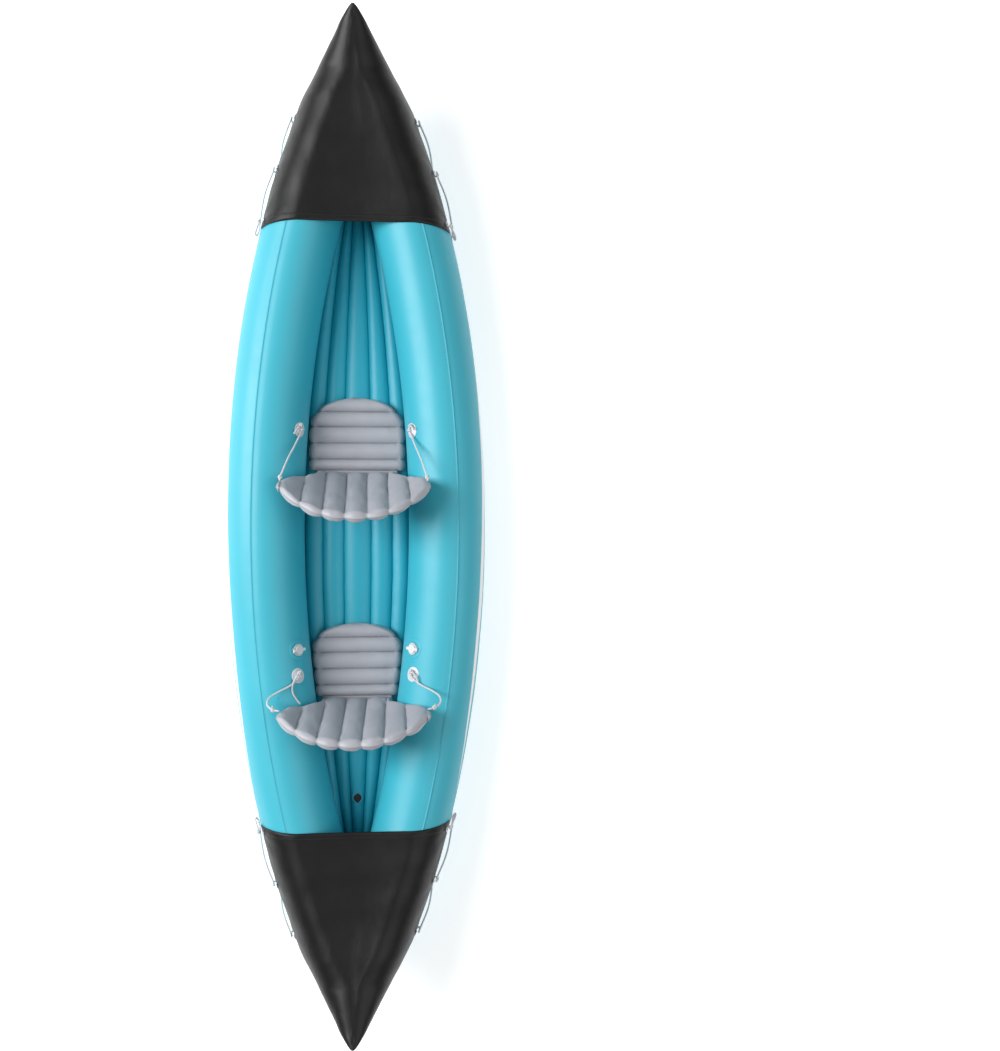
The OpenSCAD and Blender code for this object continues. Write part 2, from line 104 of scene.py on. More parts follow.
class KayakHullSizes(bpy.types.PropertyGroup):
    """Sizes of the two side tubes and the floor."""

    length: metres("Length", "Length over both tips", CAD_HIGH.y - CAD_LOW.y)
    beam: metres("Beam", "Width over the side tubes", CAD_HIGH.x - CAD_LOW.x)
    tube_width: metres("Tube width", "Width of one side tube", 0.264)
    tube_top: metres("Tube top", "Height of the tube tops amidships", 0.295)
    tube_bottom: metres("Tube bottom", "Height of the tube bottoms amidships", 0.020)
    tip_height: metres("Tip height", "Height of bow and stern", 0.502)
    stem_length: metres("Stem length", "Length of the raked stem", 0.340)
    nose_length: metres("Nose length", "Length over which the tips are drawn in", 0.250)
    weld_height: metres("Weld height", "How far a welded seam stands proud", 0.0013)
    floor_top: metres("Floor top", "Height of the floor's ridges", 0.095)
    floor_half: metres("Floor half width", "Half width of the floor amidships", 0.190)
    groove_depth: metres("Groove depth", "Depth of the grooves between the floor tubes", 0.018)
    skin_length: metres("Skin half length", "Half length of the bottom skin", 1.345)
    skin_half: metres("Skin half width", "Half width of the bottom skin amidships", 0.268)


class KayakCoverSizes(bpy.types.PropertyGroup):
    """Sizes of the end covers and their lacing."""

    length: metres("Cover length", "From the tip to the cockpit edge", 0.650)
    hem: metres("Hem", "Width of the doubled hem", 0.024)
    cloth: metres("Cloth", "Thickness of the cover cloth", 0.0016)
    eyelet_radius: metres("Eyelet radius", "Outer radius of a metal eyelet", 0.0085)
    lacing: metres("Lacing", "Diameter of the lacing cord", 0.006)
    patch: metres("Patch", "Diameter of a welded patch", 0.051)


class KayakSeatSizes(bpy.types.PropertyGroup):
    """Sizes of the two seats."""

    front_fold: metres("Front fold", "Place of the front seat's fold line", 0.188, -2.0)
    rear_fold: metres("Rear fold", "Place of the rear seat's fold line", -0.597, -2.0)
    fold_height: metres("Fold height", "Height of both fold lines", 0.120)
    pan_length: metres("Pan length", "Depth of a seat pan", 0.262)
    pan_half: metres("Pan half width", "Half width of a seat pan", 0.166)
    pan_puff: metres("Pan thickness", "Thickness of a seat pan's tubes", 0.042)
    back_height: metres("Back height", "Height of a backrest along its lean", 0.420)
    back_half: metres("Back half width", "Half width of a backrest at its wings", 0.250)
    back_puff: metres("Back thickness", "Thickness of a backrest's tubes", 0.040)
    front_cup: metres("Front cup", "Forward curl of the front wings", 0.056)
    rear_cup: metres("Rear cup", "Forward curl of the rear wings", 0.045)
    rope: metres("Rope", "Diameter of the seat ropes", 0.006)


class KayakColours(bpy.types.PropertyGroup):
    """Colours of the materials."""

    hull: colour("Hull", "Blue of the air tubes", (0.042, 0.420, 0.535))
    # The floor's blue is the hull's blue made darker and deeper, as painted shade for the lack of light on
    # the floor.
    floor: colour("Floor", "Blue of the floor", (0.014, 0.385, 0.515))
    black: colour("Black", "Bottom skin and covers", (0.0065, 0.0065, 0.0075))
    seat: colour("Seat", "Grey of the cushions", (0.385, 0.390, 0.428))
    patch: colour("Patch", "Grey of the welded patches", (0.680, 0.690, 0.740))
    rope: colour("Rope", "White of the cords", (0.780, 0.790, 0.800))
    print: colour("Print", "White of the stripes on the sides", (0.860, 0.880, 0.890))


def hull_sizes():
    return bpy.context.scene.kayak_hull


def cover_sizes():
    return bpy.context.scene.kayak_cover


def seat_sizes():
    return bpy.context.scene.kayak_seat


def colours():
    return bpy.context.scene.kayak_colours


# ---------------------------------------------------------------- shape of the hull


def clamp(value, low, high):
    return max(low, min(high, value))


def mix(a, b, share):
    return a + (b - a) * share


def ease(low, high, value):
    share = clamp((value - low) / (high - low), 0.0, 1.0)
    return share * share * (3 - 2 * share)


class Tubes:
    """The pair of side tubes: every fitting and cover is placed from this surface."""

    NOSE_PINCH = 0.36
    FULLNESS = 0.68
    SHEER = 3.5
    KEEL_RISE = 0.018

    def __init__(self):
        s = hull_sizes()
        self.half_length = s.length / 2
        self.half_beam = s.beam / 2
        self.half_width = s.tube_width / 2
        self.crown, self.belly = s.tube_top, s.tube_bottom
        self.tip, self.stem_length = s.tip_height, s.stem_length
        self.nose_length = s.nose_length

    def outline(self, y):
        """Half the beam at y: a full oval, drawn in to a point at both tips."""
        to_tip = max(0.0, 1 - (self.half_length - abs(y)) / self.nose_length)
        nose = 1 - self.NOSE_PINCH * to_tip**1.3
        oval = max(0.0, 1 - (y / self.half_length) ** 2) ** self.FULLNESS
        return self.half_beam * nose * oval

    def a(self, y):
        """Half the width of one tube."""
        return min(self.half_width, self.outline(y))

    def x(self, y):
        """How far out the middle of the tube lies."""
        return self.outline(y) - self.a(y)

    def top(self, y):
        return self.crown + (self.tip - self.crown) * (abs(y) / self.half_length) ** self.SHEER

    def bottom(self, y):
        keel = self.belly + self.KEEL_RISE * min(1.0, (abs(y) / (0.6 * self.half_length)) ** 2)
        rise = max(0.0, 1 - (self.half_length - abs(y)) / self.stem_length) ** 1.7
        return keel + (self.tip - keel) * rise

    def b(self, y):
        return (self.top(y) - self.bottom(y)) / 2

    def z(self, y):
        return (self.top(y) + self.bottom(y)) / 2

    def at(self, y, phi, off=0.0):
        """A point on the starboard tube, phi degrees up from straight outboard."""
        turn = math.radians(phi)
        return Vector(
            (
                self.x(y) + (self.a(y) + off) * math.cos(turn),
                y,
                self.z(y) + (self.b(y) + off) * math.sin(turn),
            )
        )

    def phi(self, y, height):
        """Degrees up from straight outboard at which the tube has this height."""
        return math.degrees(
            math.asin(clamp((height - self.z(y)) / max(self.b(y), MM), -0.9998, 0.9))
        )

    def inner(self, y, height):
        """How far from the middle the tube's inner face lies at this height."""
        share = (height - self.z(y)) / self.b(y)
        if abs(share) >= 1:
            return self.half_beam
        return self.x(y) - self.a(y) * math.sqrt(1 - share * share)

    def under(self, x, y):
        """Height of the tube's underside."""
        share = clamp((abs(x) - self.x(y)) / self.a(y), -0.96, 0.96)
        return self.z(y) - self.b(y) * math.sqrt(1 - share * share)

    def place(self, y, phi, off=0.0):
        """Matrix of a fitting: X down the girth, Y along the hull, Z outward."""
        spot = self.at(y, phi, off)
        along = (self.at(y + MM, phi, off) - self.at(y - MM, phi, off)).normalized()
        around = self.at(y, phi + 0.5, off) - self.at(y, phi - 0.5, off)
        out = along.cross(around).normalized()
        down = along.cross(out)
        return matrix_of(down, along, out, spot)


def matrix_of(x_axis, y_axis, z_axis, origin):
    m = Matrix.Identity(4)
    for column, axis in enumerate((x_axis, y_axis, z_axis, origin)):
        for row in range(3):
            m[row][column] = axis[row]
    return m


# Distance from the tip and height; the lacing's points also have their lift off the tube.
EYELETS = ((0.125, 0.299), (0.282, 0.271), (0.448, 0.258), (0.624, 0.256))
LACING_PATCHES = ((0.252, 0.208), (0.421, 0.167), (0.642, 0.169))
LACING_TURNS = (
    (0.110, 0.306, 0.019), (0.119, 0.303, 0.017), (0.135, 0.293, 0.014), (0.190, 0.246, 0.015),
    (0.236, 0.215, 0.012), (0.252, 0.208, 0.011), (0.267, 0.203, 0.012), (0.279, 0.212, 0.014),
    (0.283, 0.240, 0.014), (0.281, 0.262, 0.014), (0.289, 0.274, 0.014), (0.303, 0.264, 0.014),
    (0.350, 0.216, 0.017), (0.404, 0.174, 0.012), (0.421, 0.167, 0.011), (0.436, 0.172, 0.012),
    (0.445, 0.208, 0.015), (0.446, 0.244, 0.014), (0.457, 0.259, 0.014), (0.473, 0.252, 0.014),
    (0.540, 0.205, 0.018), (0.624, 0.173, 0.012), (0.642, 0.169, 0.011), (0.656, 0.177, 0.012),
    (0.657, 0.205, 0.014), (0.643, 0.238, 0.015), (0.629, 0.257, 0.018),
)
# Place along the hull and degrees up from straight outboard.
FRONT_PATCH = (0.327, 147.0)
REAR_PATCH = (-0.499, 134.0)
# Starboard ropes from the patch to the wing of the backrest.
FRONT_ROPE = (
    (0.180, 0.345, 0.239), (0.181, 0.327, 0.238), (0.186, 0.311, 0.246),
    (0.201, 0.268, 0.288), (0.218, 0.224, 0.334), (0.230, 0.184, 0.374),
    (0.237, 0.160, 0.396), (0.238, 0.149, 0.402),
)
REAR_ROPE = (
    (0.187, -0.482, 0.269), (0.185, -0.499, 0.266), (0.193, -0.512, 0.274),
    (0.217, -0.529, 0.294), (0.254, -0.546, 0.316), (0.279, -0.562, 0.340),
    (0.280, -0.580, 0.370), (0.260, -0.591, 0.394), (0.239, -0.594, 0.402),
)
# Free ends of the ropes below the patches' knots, port and starboard.
ROPE_TAILS = {
    "front": (
        ((0.183, 0.342, 0.247), (0.190, 0.335, 0.256), (0.198, 0.322, 0.263), (0.205, 0.311, 0.267)),
        ((0.183, 0.342, 0.247), (0.188, 0.338, 0.256), (0.194, 0.328, 0.262)),
    ),
    "rear": (
        ((0.186, -0.488, 0.272), (0.196, -0.502, 0.284), (0.207, -0.526, 0.288), (0.207, -0.552, 0.286),
         (0.196, -0.574, 0.279), (0.184, -0.592, 0.268)),
        ((0.186, -0.488, 0.272), (0.196, -0.496, 0.283), (0.205, -0.512, 0.288), (0.211, -0.530, 0.290)),
    ),
}
# Free end below the knot on a wing, from the knot.
WING_TAIL = ((0, 0, 0), (0.003, 0.005, -0.010), (0.004, 0.006, -0.026))
SIDE_VALVE = (-0.414, 139.0)
DRAIN_VALVE = (1.075, -74.0)
FLOOR_VALVE_Y = -0.952
WELD_PHI = 75.0
ENDS = (("bow", False), ("stern", True))
SIDES = (("port", True), ("starboard", False))

# Edges of the floor's five tubes, as shares of its half width.
RIDGES = (0.0, 0.25, 0.64, 1.0)
# Where the bottom starts to rise to the ends, over what length and how far.
RISE_FROM, RISE_OVER, RISE_BY = 1.150, 0.195, 0.050


def ridge_share(f):
    """Where f lies inside its ridge, from 0 at one groove to 1 at the next."""
    a = abs(f)
    if a <= RIDGES[1]:
        return (f + RIDGES[1]) / (2 * RIDGES[1])
    if a <= RIDGES[2]:
        return (a - RIDGES[1]) / (RIDGES[2] - RIDGES[1])
    return (a - RIDGES[2]) / (1 - RIDGES[2])


def end_rise(y):
    return RISE_BY * max(0.0, (abs(y) - RISE_FROM) / RISE_OVER) ** 2


def puff(share, fullness=0.5):
    """Round cross-section of an air tube between two welds."""
    return max(0.0, math.sin(math.pi * clamp(share, 0.0, 1.0))) ** fullness


# ---------------------------------------------------------------- meshes


def new_piece(name, verts, faces, uvs=None, marks=None):
    """An object from points and faces, with a UV per point and named marks per point."""
    mesh = bpy.data.meshes.new(name)
    mesh.from_pydata([tuple(v) for v in verts], [], faces)
    if uvs:
        layer = mesh.uv_layers.new(name="UVMap")
        for loop in mesh.loops:
            layer.data[loop.index].uv = uvs[loop.vertex_index]
    for mark, values in (marks or {}).items():
        mesh.attributes.new(mark, "FLOAT", "POINT").data.foreach_set("value", values)
    mesh.validate()
    mesh.shade_smooth()
    piece = bpy.data.objects.new(name, mesh)
    bpy.context.scene.collection.objects.link(piece)
    return piece


def grid_faces(rows, cols, start=0, wrap=False, flip=False):
    faces = []
    for i in range(rows - 1):
        for j in range(cols if wrap else cols - 1):
            k = (j + 1) % cols
            quad = (
                start + i * cols + j,
                start + i * cols + k,
                start + (i + 1) * cols + k,
                start + (i + 1) * cols + j,
            )
            faces.append(quad[::-1] if flip else quad)
    return faces


def shell_faces(rows, cols):
    """Faces of a sheet with an upper and a lower grid, closed along its rim."""
    n = rows * cols
    faces = grid_faces(rows, cols) + grid_faces(rows, cols, n, flip=True)
    rim = [(0, j) for j in range(cols - 1)]
    rim += [(i, cols - 1) for i in range(rows - 1)]
    rim += [(rows - 1, j) for j in range(cols - 1, 0, -1)]
    rim += [(i, 0) for i in range(rows - 1, 0, -1)]
    ids = [i * cols + j for i, j in rim]
    for a, b in zip(ids, ids[1:] + ids[:1]):
        faces.append((b, a, n + a, n + b))
    return faces


def outward(piece):
    """Turns every face outward."""
    bm = bmesh.new()
    bm.from_mesh(piece.data)
    bmesh.ops.recalc_face_normals(bm, faces=bm.faces)
    bm.to_mesh(piece.data)
    bm.free()
    return piece


def lathe(profile, segments=40):
    """Points and faces of a profile (radius, height) turned about Z, closed in itself."""
    verts, faces = [], []
    count = len(profile)
    for s in range(segments):
        turn = 2 * math.pi * s / segments
        for radius, height in profile:
            verts.append((radius * math.cos(turn), radius * math.sin(turn), height))
    for s in range(segments):
        t = (s + 1) % segments
        for k in range(count):
            m = (k + 1) % count
            faces.append((s * count + k, t * count + k, t * count + m, s * count + m))
    return verts, faces


def spline(points, steps):
    """The same smooth curve that the cords' frame follows."""
    pts = [Vector(p) for p in points]
    out = []
    for i in range(len(pts) - 1):
        a, b = pts[max(i - 1, 0)], pts[i]
        c, d = pts[i + 1], pts[min(i + 2, len(pts) - 1)]
        for s in range(steps):
            t = s / steps
            out.append(
                0.5
                * (
                    2 * b
                    + (c - a) * t
                    + (2 * a - 5 * b + 4 * c - d) * t * t
                    + (3 * b - a - 3 * c + d) * t * t * t
                )
            )
    out.append(pts[-1])
    return out


def tube_along(path, radius, sides=12, taper=None, closed=False):
    """Points, faces and UVs of a round tube that follows a path without twisting."""
    count = len(path)
    verts, uvs = [], []
    side = None
    run = 0.0
    for i in range(count):
        ahead = path[(i + 1) % count] if closed else path[min(i + 1, count - 1)]
        behind = path[i - 1] if closed else path[max(i - 1, 0)]
        along = (ahead - behind).normalized()
        if side is None:
            side = along.orthogonal().normalized()
        side = (side - along * side.dot(along)).normalized()
        other = along.cross(side)
        if i:
            run += (path[i] - path[i - 1]).length
        width = radius * (taper(i / (count - 1)) if taper else 1.0)
        for s in range(sides):
            turn = 2 * math.pi * s / sides
            verts.append(path[i] + width * (side * math.cos(turn) + other * math.sin(turn)))
            uvs.append((run, s / sides))
    faces = grid_faces(count, sides, wrap=True)
    if closed:
        last = (count - 1) * sides
        for s in range(sides):
            t = (s + 1) % sides
            faces.append((last + s, last + t, t, s))
    else:
        faces.append(tuple(range(sides))[::-1])
        faces.append(tuple((count - 1) * sides + s for s in range(sides)))
    return verts, faces, uvs


class Sheet:
    """Gathers the rows of a closed sheet: points above and below, a UV and a mark each."""

    def __init__(self):
        self.upper, self.lower, self.uvs, self.marks = [], [], [], []

    def start_row(self):
        for rows in (self.upper, self.lower, self.uvs, self.marks):
            rows.append([])

    def add(self, above, below, uv, mark):
        self.upper[-1].append(above)
        self.lower[-1].append(below)
        self.uvs[-1].append(uv)
        self.marks[-1].append(mark)

    def piece(self, name, mark="weld"):
        rows, cols = len(self.upper), len(self.upper[0])
        points = [p for row in self.upper + self.lower for p in row]
        uvs = [uv for row in self.uvs for uv in row] * 2
        marks = [value for row in self.marks for value in row] * 2
        return outward(new_piece(name, points, shell_faces(rows, cols), uvs, {mark: marks}))


class Heap:
    """Gathers several shapes into one piece."""

    def __init__(self):
        self.verts, self.faces, self.uvs = [], [], []

    def add(self, verts, faces, uvs=None, matrix=None):
        start = len(self.verts)
        self.verts += [matrix @ Vector(v) if matrix is not None else Vector(v) for v in verts]
        self.uvs += uvs or [(0.0, 0.0)] * len(verts)
        self.faces += [tuple(start + k for k in face) for face in faces]

    def piece(self, name):
        return outward(new_piece(name, self.verts, self.faces, self.uvs))


def flip_point(point, port=False, stern=False):
    x, y, z = point
    return Vector((-x if port else x, -y if stern else y, z))


def wobble(x, y, z, size, seed=0.0):
    """Smooth noise of about plus or minus one, with features of the given size."""
    return noise.noise(Vector((x / size + seed, y / size - seed, z / size + 2 * seed)))


def finish_piece(piece, material, slot, body, *nodes):
    piece.data.materials.clear()
    piece.data.materials.append(material)
    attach(piece, body)
    if nodes:
        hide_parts(*nodes)
    return piece


# ---------------------------------------------------------------- materials


class Signal:
    """A value on its way through a material. Arithmetic on it adds Math nodes."""

    def __init__(self, finish, socket):
        self.finish, self.socket = finish, socket

    def maths(self, operation, *values):
        return self.finish.node(
            "ShaderNodeMath", {"operation": operation}, dict(enumerate(values))
        )

    def __add__(self, other):
        return self.maths("ADD", self, other)

    def __radd__(self, other):
        return self.maths("ADD", other, self)

    def __sub__(self, other):
        return self.maths("SUBTRACT", self, other)

    def __rsub__(self, other):
        return self.maths("SUBTRACT", other, self)

    def __mul__(self, other):
        return self.maths("MULTIPLY", self, other)

    def __rmul__(self, other):
        return self.maths("MULTIPLY", other, self)

    def __truediv__(self, other):
        return self.maths("DIVIDE", self, other)

    def __abs__(self):
        return self.maths("ABSOLUTE", self)

    def __pow__(self, other):
        return self.maths("POWER", self, other)

    def sine(self):
        return self.maths("SINE", self)

    def above(self, low, high):
        """0 below low, 1 above high, smooth between."""
        return self.finish.node(
            "ShaderNodeMapRange",
            {"interpolation_type": "SMOOTHSTEP"},
            {"Value": self, "From Min": low, "From Max": high, "To Min": 0.0, "To Max": 1.0},
        )

    def below(self, low, high):
        return 1 - self.above(low, high)


class Finish:
    """A material whose nodes are added by name."""

    def __init__(self, name):
        self.material = bpy.data.materials.new(name)
        self.material.use_nodes = True
        self.tree = self.material.node_tree
        self.tree.nodes.clear()
        self.output = self.tree.nodes.new("ShaderNodeOutputMaterial")
        self.heights = []

    def node(self, kind, settings=None, inputs=None, output=0):
        node = self.tree.nodes.new(kind)
        for key, value in (settings or {}).items():
            setattr(node, key, value)
        for key, value in (inputs or {}).items():
            if isinstance(value, Signal):
                self.tree.links.new(value.socket, node.inputs[key])
            else:
                node.inputs[key].default_value = value
        return Signal(self, node.outputs[output])

    def coords(self, output="Object"):
        return self.node("ShaderNodeTexCoord", output=output)

    def split(self, vector):
        node = self.node("ShaderNodeSeparateXYZ", None, {0: vector}).socket.node
        return [Signal(self, node.outputs[k]) for k in range(3)]

    def join(self, x, y, z=0.0):
        return self.node("ShaderNodeCombineXYZ", None, {0: x, 1: y, 2: z})

    def mark(self, name):
        return self.node("ShaderNodeAttribute", {"attribute_name": name}, output="Fac")

    def noise(self, vector, scale, detail=2.0, roughness=0.5):
        return self.node(
            "ShaderNodeTexNoise",
            None,
            {"Vector": vector, "Scale": scale, "Detail": detail, "Roughness": roughness},
            "Fac",
        )

    def blend(self, a, b, share):
        """Mixes two colours."""
        return self.node(
            "ShaderNodeMix", {"data_type": "RGBA"}, {0: share, 6: rgba(a), 7: rgba(b)}, 2
        )

    def bump(self, height, distance, strength=1.0):
        self.heights.append((height, distance, strength))

    def shade(self, base, roughness, **constants):
        """Ends the material in a Principled shader and returns the material."""
        inputs = {"Base Color": rgba(base), "Roughness": roughness}
        inputs.update({key.replace("_", " "): value for key, value in constants.items()})
        normal = None
        for height, distance, strength in self.heights:
            wires = {"Height": height, "Distance": distance, "Strength": strength}
            if normal is not None:
                wires["Normal"] = normal
            normal = self.node("ShaderNodeBump", None, wires)
        if normal is not None:
            inputs["Normal"] = normal
        shader = self.node("ShaderNodeBsdfPrincipled", None, inputs)
        self.tree.links.new(shader.socket, self.output.inputs["Surface"])
        return self.material


def rgba(value):
    if isinstance(value, Signal):
        return value
    return (*tuple(value)[:3], 1.0)


def shaded(colour_value, factor):
    return tuple(clamp(c * factor, 0.0, 1.0) for c in colour_value)


def air_tube_vinyl(name, tint, stripes=False):
    """Glossy coated vinyl: fine orange-peel, slow waviness, puckers beside the welds."""
    f = Finish(name)
    spot = f.coords("Object")
    x, y, z = f.split(spot)
    weld = f.mark("weld")
    puckers = f.noise(f.join(x * 14, y * 95, z * 14), 1.0, 2.0)
    drawn = f.noise(f.join(x * 5, y * 30, z * 5), 1.0, 1.5)
    f.bump(puckers * weld, 0.0011, 0.85)
    f.bump(drawn * (weld * 0.7 + 0.3), 0.0022, 0.5)
    f.bump(f.noise(spot, 420.0, 2.0), 0.0001, 0.35)
    patchy = f.noise(spot, 3.2, 3.0)
    base = f.blend(shaded(tint, 0.93), shaded(tint, 1.05), patchy)
    base = f.blend(base, shaded(tint, 0.80), weld.above(0.93, 1.0) * 0.55)
    rough = f.noise(spot, 22.0, 3.0) * 0.10 + 0.42
    if stripes:
        height = z + 0.02 * (y * 1.9).sine()
        reach = abs(y).below(0.60, 0.92)
        bands = None
        for middle, width, far in ((0.204, 0.0150, 0.92), (0.158, 0.0110, 0.80), (0.121, 0.0070, 0.66)):
            taper = 1 - (abs(y) / far) ** 2.0
            inside = (abs(height - middle) - taper * width).below(-0.0006, 0.0006)
            bands = inside if bands is None else bands.maths("MAXIMUM", bands, inside)
        outer = abs(x).above(0.330, 0.332)
        ink = bands * outer * reach.above(0.0, 0.01)
        base = f.blend(base, colours().print, ink)
    return f.shade(base, rough, Coat_Weight=0.06, Coat_Roughness=0.25, Specular_IOR_Level=0.5)


def black_skin_vinyl(name, tint):
    """Thick shiny black vinyl of the bottom, puckered along its welds."""
    f = Finish(name)
    spot = f.coords("Object")
    x, y, z = f.split(spot)
    weld = f.mark("weld")
    f.bump(f.noise(f.join(x * 16, y * 80, z * 6), 1.0, 2.0) * weld, 0.0022, 0.9)
    f.bump(f.noise(f.join(x * 6, y * 22, z * 6), 1.0, 2.0), 0.0035, 0.55)
    f.bump(f.noise(spot, 500.0, 2.0), 0.0001, 0.35)
    dust = f.noise(spot, 6.0, 3.0).above(0.30, 0.90)
    base = f.blend(tint, (0.014, 0.014, 0.015), dust * 0.5)
    return f.shade(base, dust * 0.05 + 0.24, Coat_Weight=0.2, Coat_Roughness=0.12)


def cover_cloth(name, tint):
    """Coated cover cloth: a fine plain weave under a satin coat, stitched hem."""
    f = Finish(name)
    uv = f.coords("UV")
    u, v, _ = f.split(uv)
    edge = f.mark("edge")
    weave = 2 * math.pi / 0.0011
    warp = (u * weave).sine()
    weft = (v * weave).sine()
    f.bump(warp * weft, 0.00012, 0.35)
    hem, from_rim = cover_sizes().hem, 0.0045
    f.bump(edge.below(hem - 0.0015, hem), 0.0007, 0.9)
    stitches = [abs(edge - line).below(0.0004, 0.0010) for line in (hem - from_rim, from_rim)]
    thread = stitches[0] + stitches[1]
    f.bump(thread, -0.0008, 0.8)
    f.bump(f.noise(f.join(u * 8, v * 18), 1.0, 2.0), 0.0026, 0.45)
    f.bump(f.noise(f.join(u * 22, v * 6), 1.0, 1.0), 0.0016, 0.3)
    faded = f.noise(f.join(u * 5, v * 5), 1.0, 4.0)
    base = f.blend(tint, (0.0075, 0.0075, 0.0082), faded.above(0.4, 0.8))
    base = f.blend(base, (0.030, 0.030, 0.032), thread * 0.7)
    rough = f.noise(f.join(u * 20, v * 20), 1.0, 3.0) * 0.12 + 0.30
    return f.shade(base, rough, Specular_IOR_Level=0.27, Coat_Weight=0.05, Coat_Roughness=0.22)


def cushion_vinyl(name, tint):
    """Satin flocked-feel vinyl of the seats, creased where the air tubes meet their welds, with painted shade
    in the grooves along the welds.
    """
    f = Finish(name)
    uv = f.coords("UV")
    u, v, _ = f.split(uv)
    weld = f.mark("weld")
    f.bump(f.noise(f.join(u * 150, v * 24), 1.0, 2.0) * weld, 0.0016, 0.9)
    f.bump(f.noise(f.join(u * 24, v * 40), 1.0, 2.0), 0.0014, 0.45)
    f.bump(f.noise(f.coords("Object"), 520.0, 2.0), 0.00012, 0.4)
    cloudy = f.noise(f.join(u * 8, v * 8), 1.0, 3.0)
    base = f.blend(shaded(tint, 0.90), shaded(tint, 1.07), cloudy)
    # Painted shade: darker along the welds, where the grooves between the air tubes lie in shade.
    base = f.blend(base, shaded(tint, 0.72), weld.above(0.80, 1.0) * 0.35)
    rough = cloudy * 0.10 + 0.42
    return f.shade(base, rough, Coat_Weight=0.05, Coat_Roughness=0.3)


def braided_cord(name, tint):
    """White cord braided from eight strands, with painted shade in the grooves between the strands."""
    f = Finish(name)
    uv = f.coords("UV")
    u, v, _ = f.split(uv)
    lay, around = u * (2 * math.pi / 0.0056), v * (4 * 2 * math.pi)
    left, right = (lay + around).sine(), (lay - around).sine()
    braid = left.maths("MAXIMUM", left, right)
    f.bump(braid, 0.0005, 1.0)
    f.bump(f.noise(f.join(u * 2600, v * 30), 1.0, 2.0), 0.00012, 0.6)
    # Painted shade: the grooves between the strands are darkened.
    groove = braid.below(0.05, 0.65)
    soiled = f.noise(f.coords("Object"), 30.0, 3.0)
    base = f.blend(tint, shaded(tint, 0.55), groove * 0.8)
    base = f.blend(base, (0.52, 0.50, 0.46), soiled.above(0.58, 0.8) * 0.35)
    return f.shade(base, 0.72, Sheen_Weight=0.25, Sheen_Roughness=0.5)


def moulded_plastic(name, tint, rough=0.38, grain=0.00008):
    """Injection-moulded plastic with a fine spark-eroded grain."""
    f = Finish(name)
    spot = f.coords("Object")
    f.bump(f.noise(spot, 900.0, 3.0), grain, 0.6)
    f.bump(f.noise(spot, 60.0, 2.0), 0.0002, 0.3)
    cloudy = f.noise(spot, 45.0, 3.0)
    base = f.blend(shaded(tint, 0.88), shaded(tint, 1.06), cloudy)
    return f.shade(base, cloudy * 0.12 + (rough - 0.06))


def soft_rubber(name, tint):
    f = Finish(name)
    spot = f.coords("Object")
    f.bump(f.noise(spot, 700.0, 3.0), 0.0001, 0.6)
    bloom = f.noise(spot, 80.0, 4.0)
    base = f.blend(tint, shaded(tint, 1.6), bloom.above(0.4, 0.8))
    return f.shade(base, bloom * 0.15 + 0.5)


def pressed_metal(name, tint):
    """Nickel-plated eyelets with fine scratches."""
    f = Finish(name)
    spot = f.coords("Object")
    scratched = f.noise(spot, 800.0, 4.0)
    f.bump(scratched, 0.00005, 0.5)
    tarnish = f.noise(spot, 60.0, 3.0)
    base = f.blend(tint, shaded(tint, 0.6), tarnish.above(0.5, 0.8))
    return f.shade(base, scratched * 0.15 + 0.22, Metallic=1.0)


MATERIALS = {}


def material(name):
    """Each finish is made once."""
    if name not in MATERIALS:
        c = colours()
        makers = {
            "hull": lambda: air_tube_vinyl("hull_vinyl", c.hull, stripes=True),
            # The floor's material takes the darkened blue, which is painted shade.
            "floor": lambda: air_tube_vinyl("floor_vinyl_painted_shade", c.floor),
            "tape": lambda: air_tube_vinyl("tape_vinyl", c.hull),
            "skin": lambda: black_skin_vinyl("skin_vinyl", c.black),
            "cover": lambda: cover_cloth("cover_cloth", shaded(c.black, 0.65)),
            "seat": lambda: cushion_vinyl("seat_vinyl", c.seat),
            "patch": lambda: moulded_plastic("patch_vinyl", c.patch, 0.42),
            "rope": lambda: braided_cord("white_braid", c.rope),
            "eyelet": lambda: pressed_metal("eyelet_metal", (0.62, 0.63, 0.65)),
            "valve": lambda: moulded_plastic("valve_grey", (0.56, 0.58, 0.60)),
            "valve_cap": lambda: moulded_plastic("valve_white", (0.74, 0.75, 0.76), 0.34),
            "valve_black": lambda: moulded_plastic("valve_black", (0.022, 0.022, 0.024), 0.40),
            "rubber": lambda: soft_rubber("valve_rubber", (0.05, 0.05, 0.055)),
        }
        MATERIALS[name] = makers[name]()
    return MATERIALS[name]


# ---------------------------------------------------------------- cords


def cord_piece(name, path, diameter, node):
    verts, faces, uvs = tube_along(path, diameter / 2, 12)
    piece = outward(new_piece(name, verts, faces, uvs))
    piece.data.materials.append(material("rope"))
    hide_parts(node)
    return piece


def knot_piece(name, centre, along, diameter, tail, body):
    """An overhand knot pulled tight, with a free tail through the given points."""
    along = along.normalized()
    side = along.orthogonal().normalized()
    other = along.cross(side)
    loops = []
    reach = diameter * 0.62
    for k in range(60):
        t = 2 * math.pi * k / 60
        r = reach * (1.0 + 0.42 * math.cos(3 * t))
        loops.append(
            centre
            + side * (r * math.cos(2 * t))
            + other * (r * math.sin(2 * t))
            + along * (diameter * 0.55 * math.sin(3 * t))
        )
    heap = Heap()
    heap.add(*tube_along(loops, diameter * 0.47, 10, closed=True))
    # The cut end of the tail is a little swollen.
    swollen = lambda share: 1.0 + 0.25 * max(0.0, share - 0.85) / 0.15
    heap.add(*tube_along(spline(tail, 6), diameter * 0.48, 10, swollen))
    piece = heap.piece(name)
    finish_piece(piece, material("rope"), "rope_fibre", body)
    return piece


def lacing_path(port, stern):
    tubes = Tubes()
    path = []
    for d, height, lift in spline(LACING_TURNS, 8):
        y = tubes.half_length - d
        path.append(flip_point(tubes.at(y, tubes.phi(y, height), lift), port, stern))
    return path


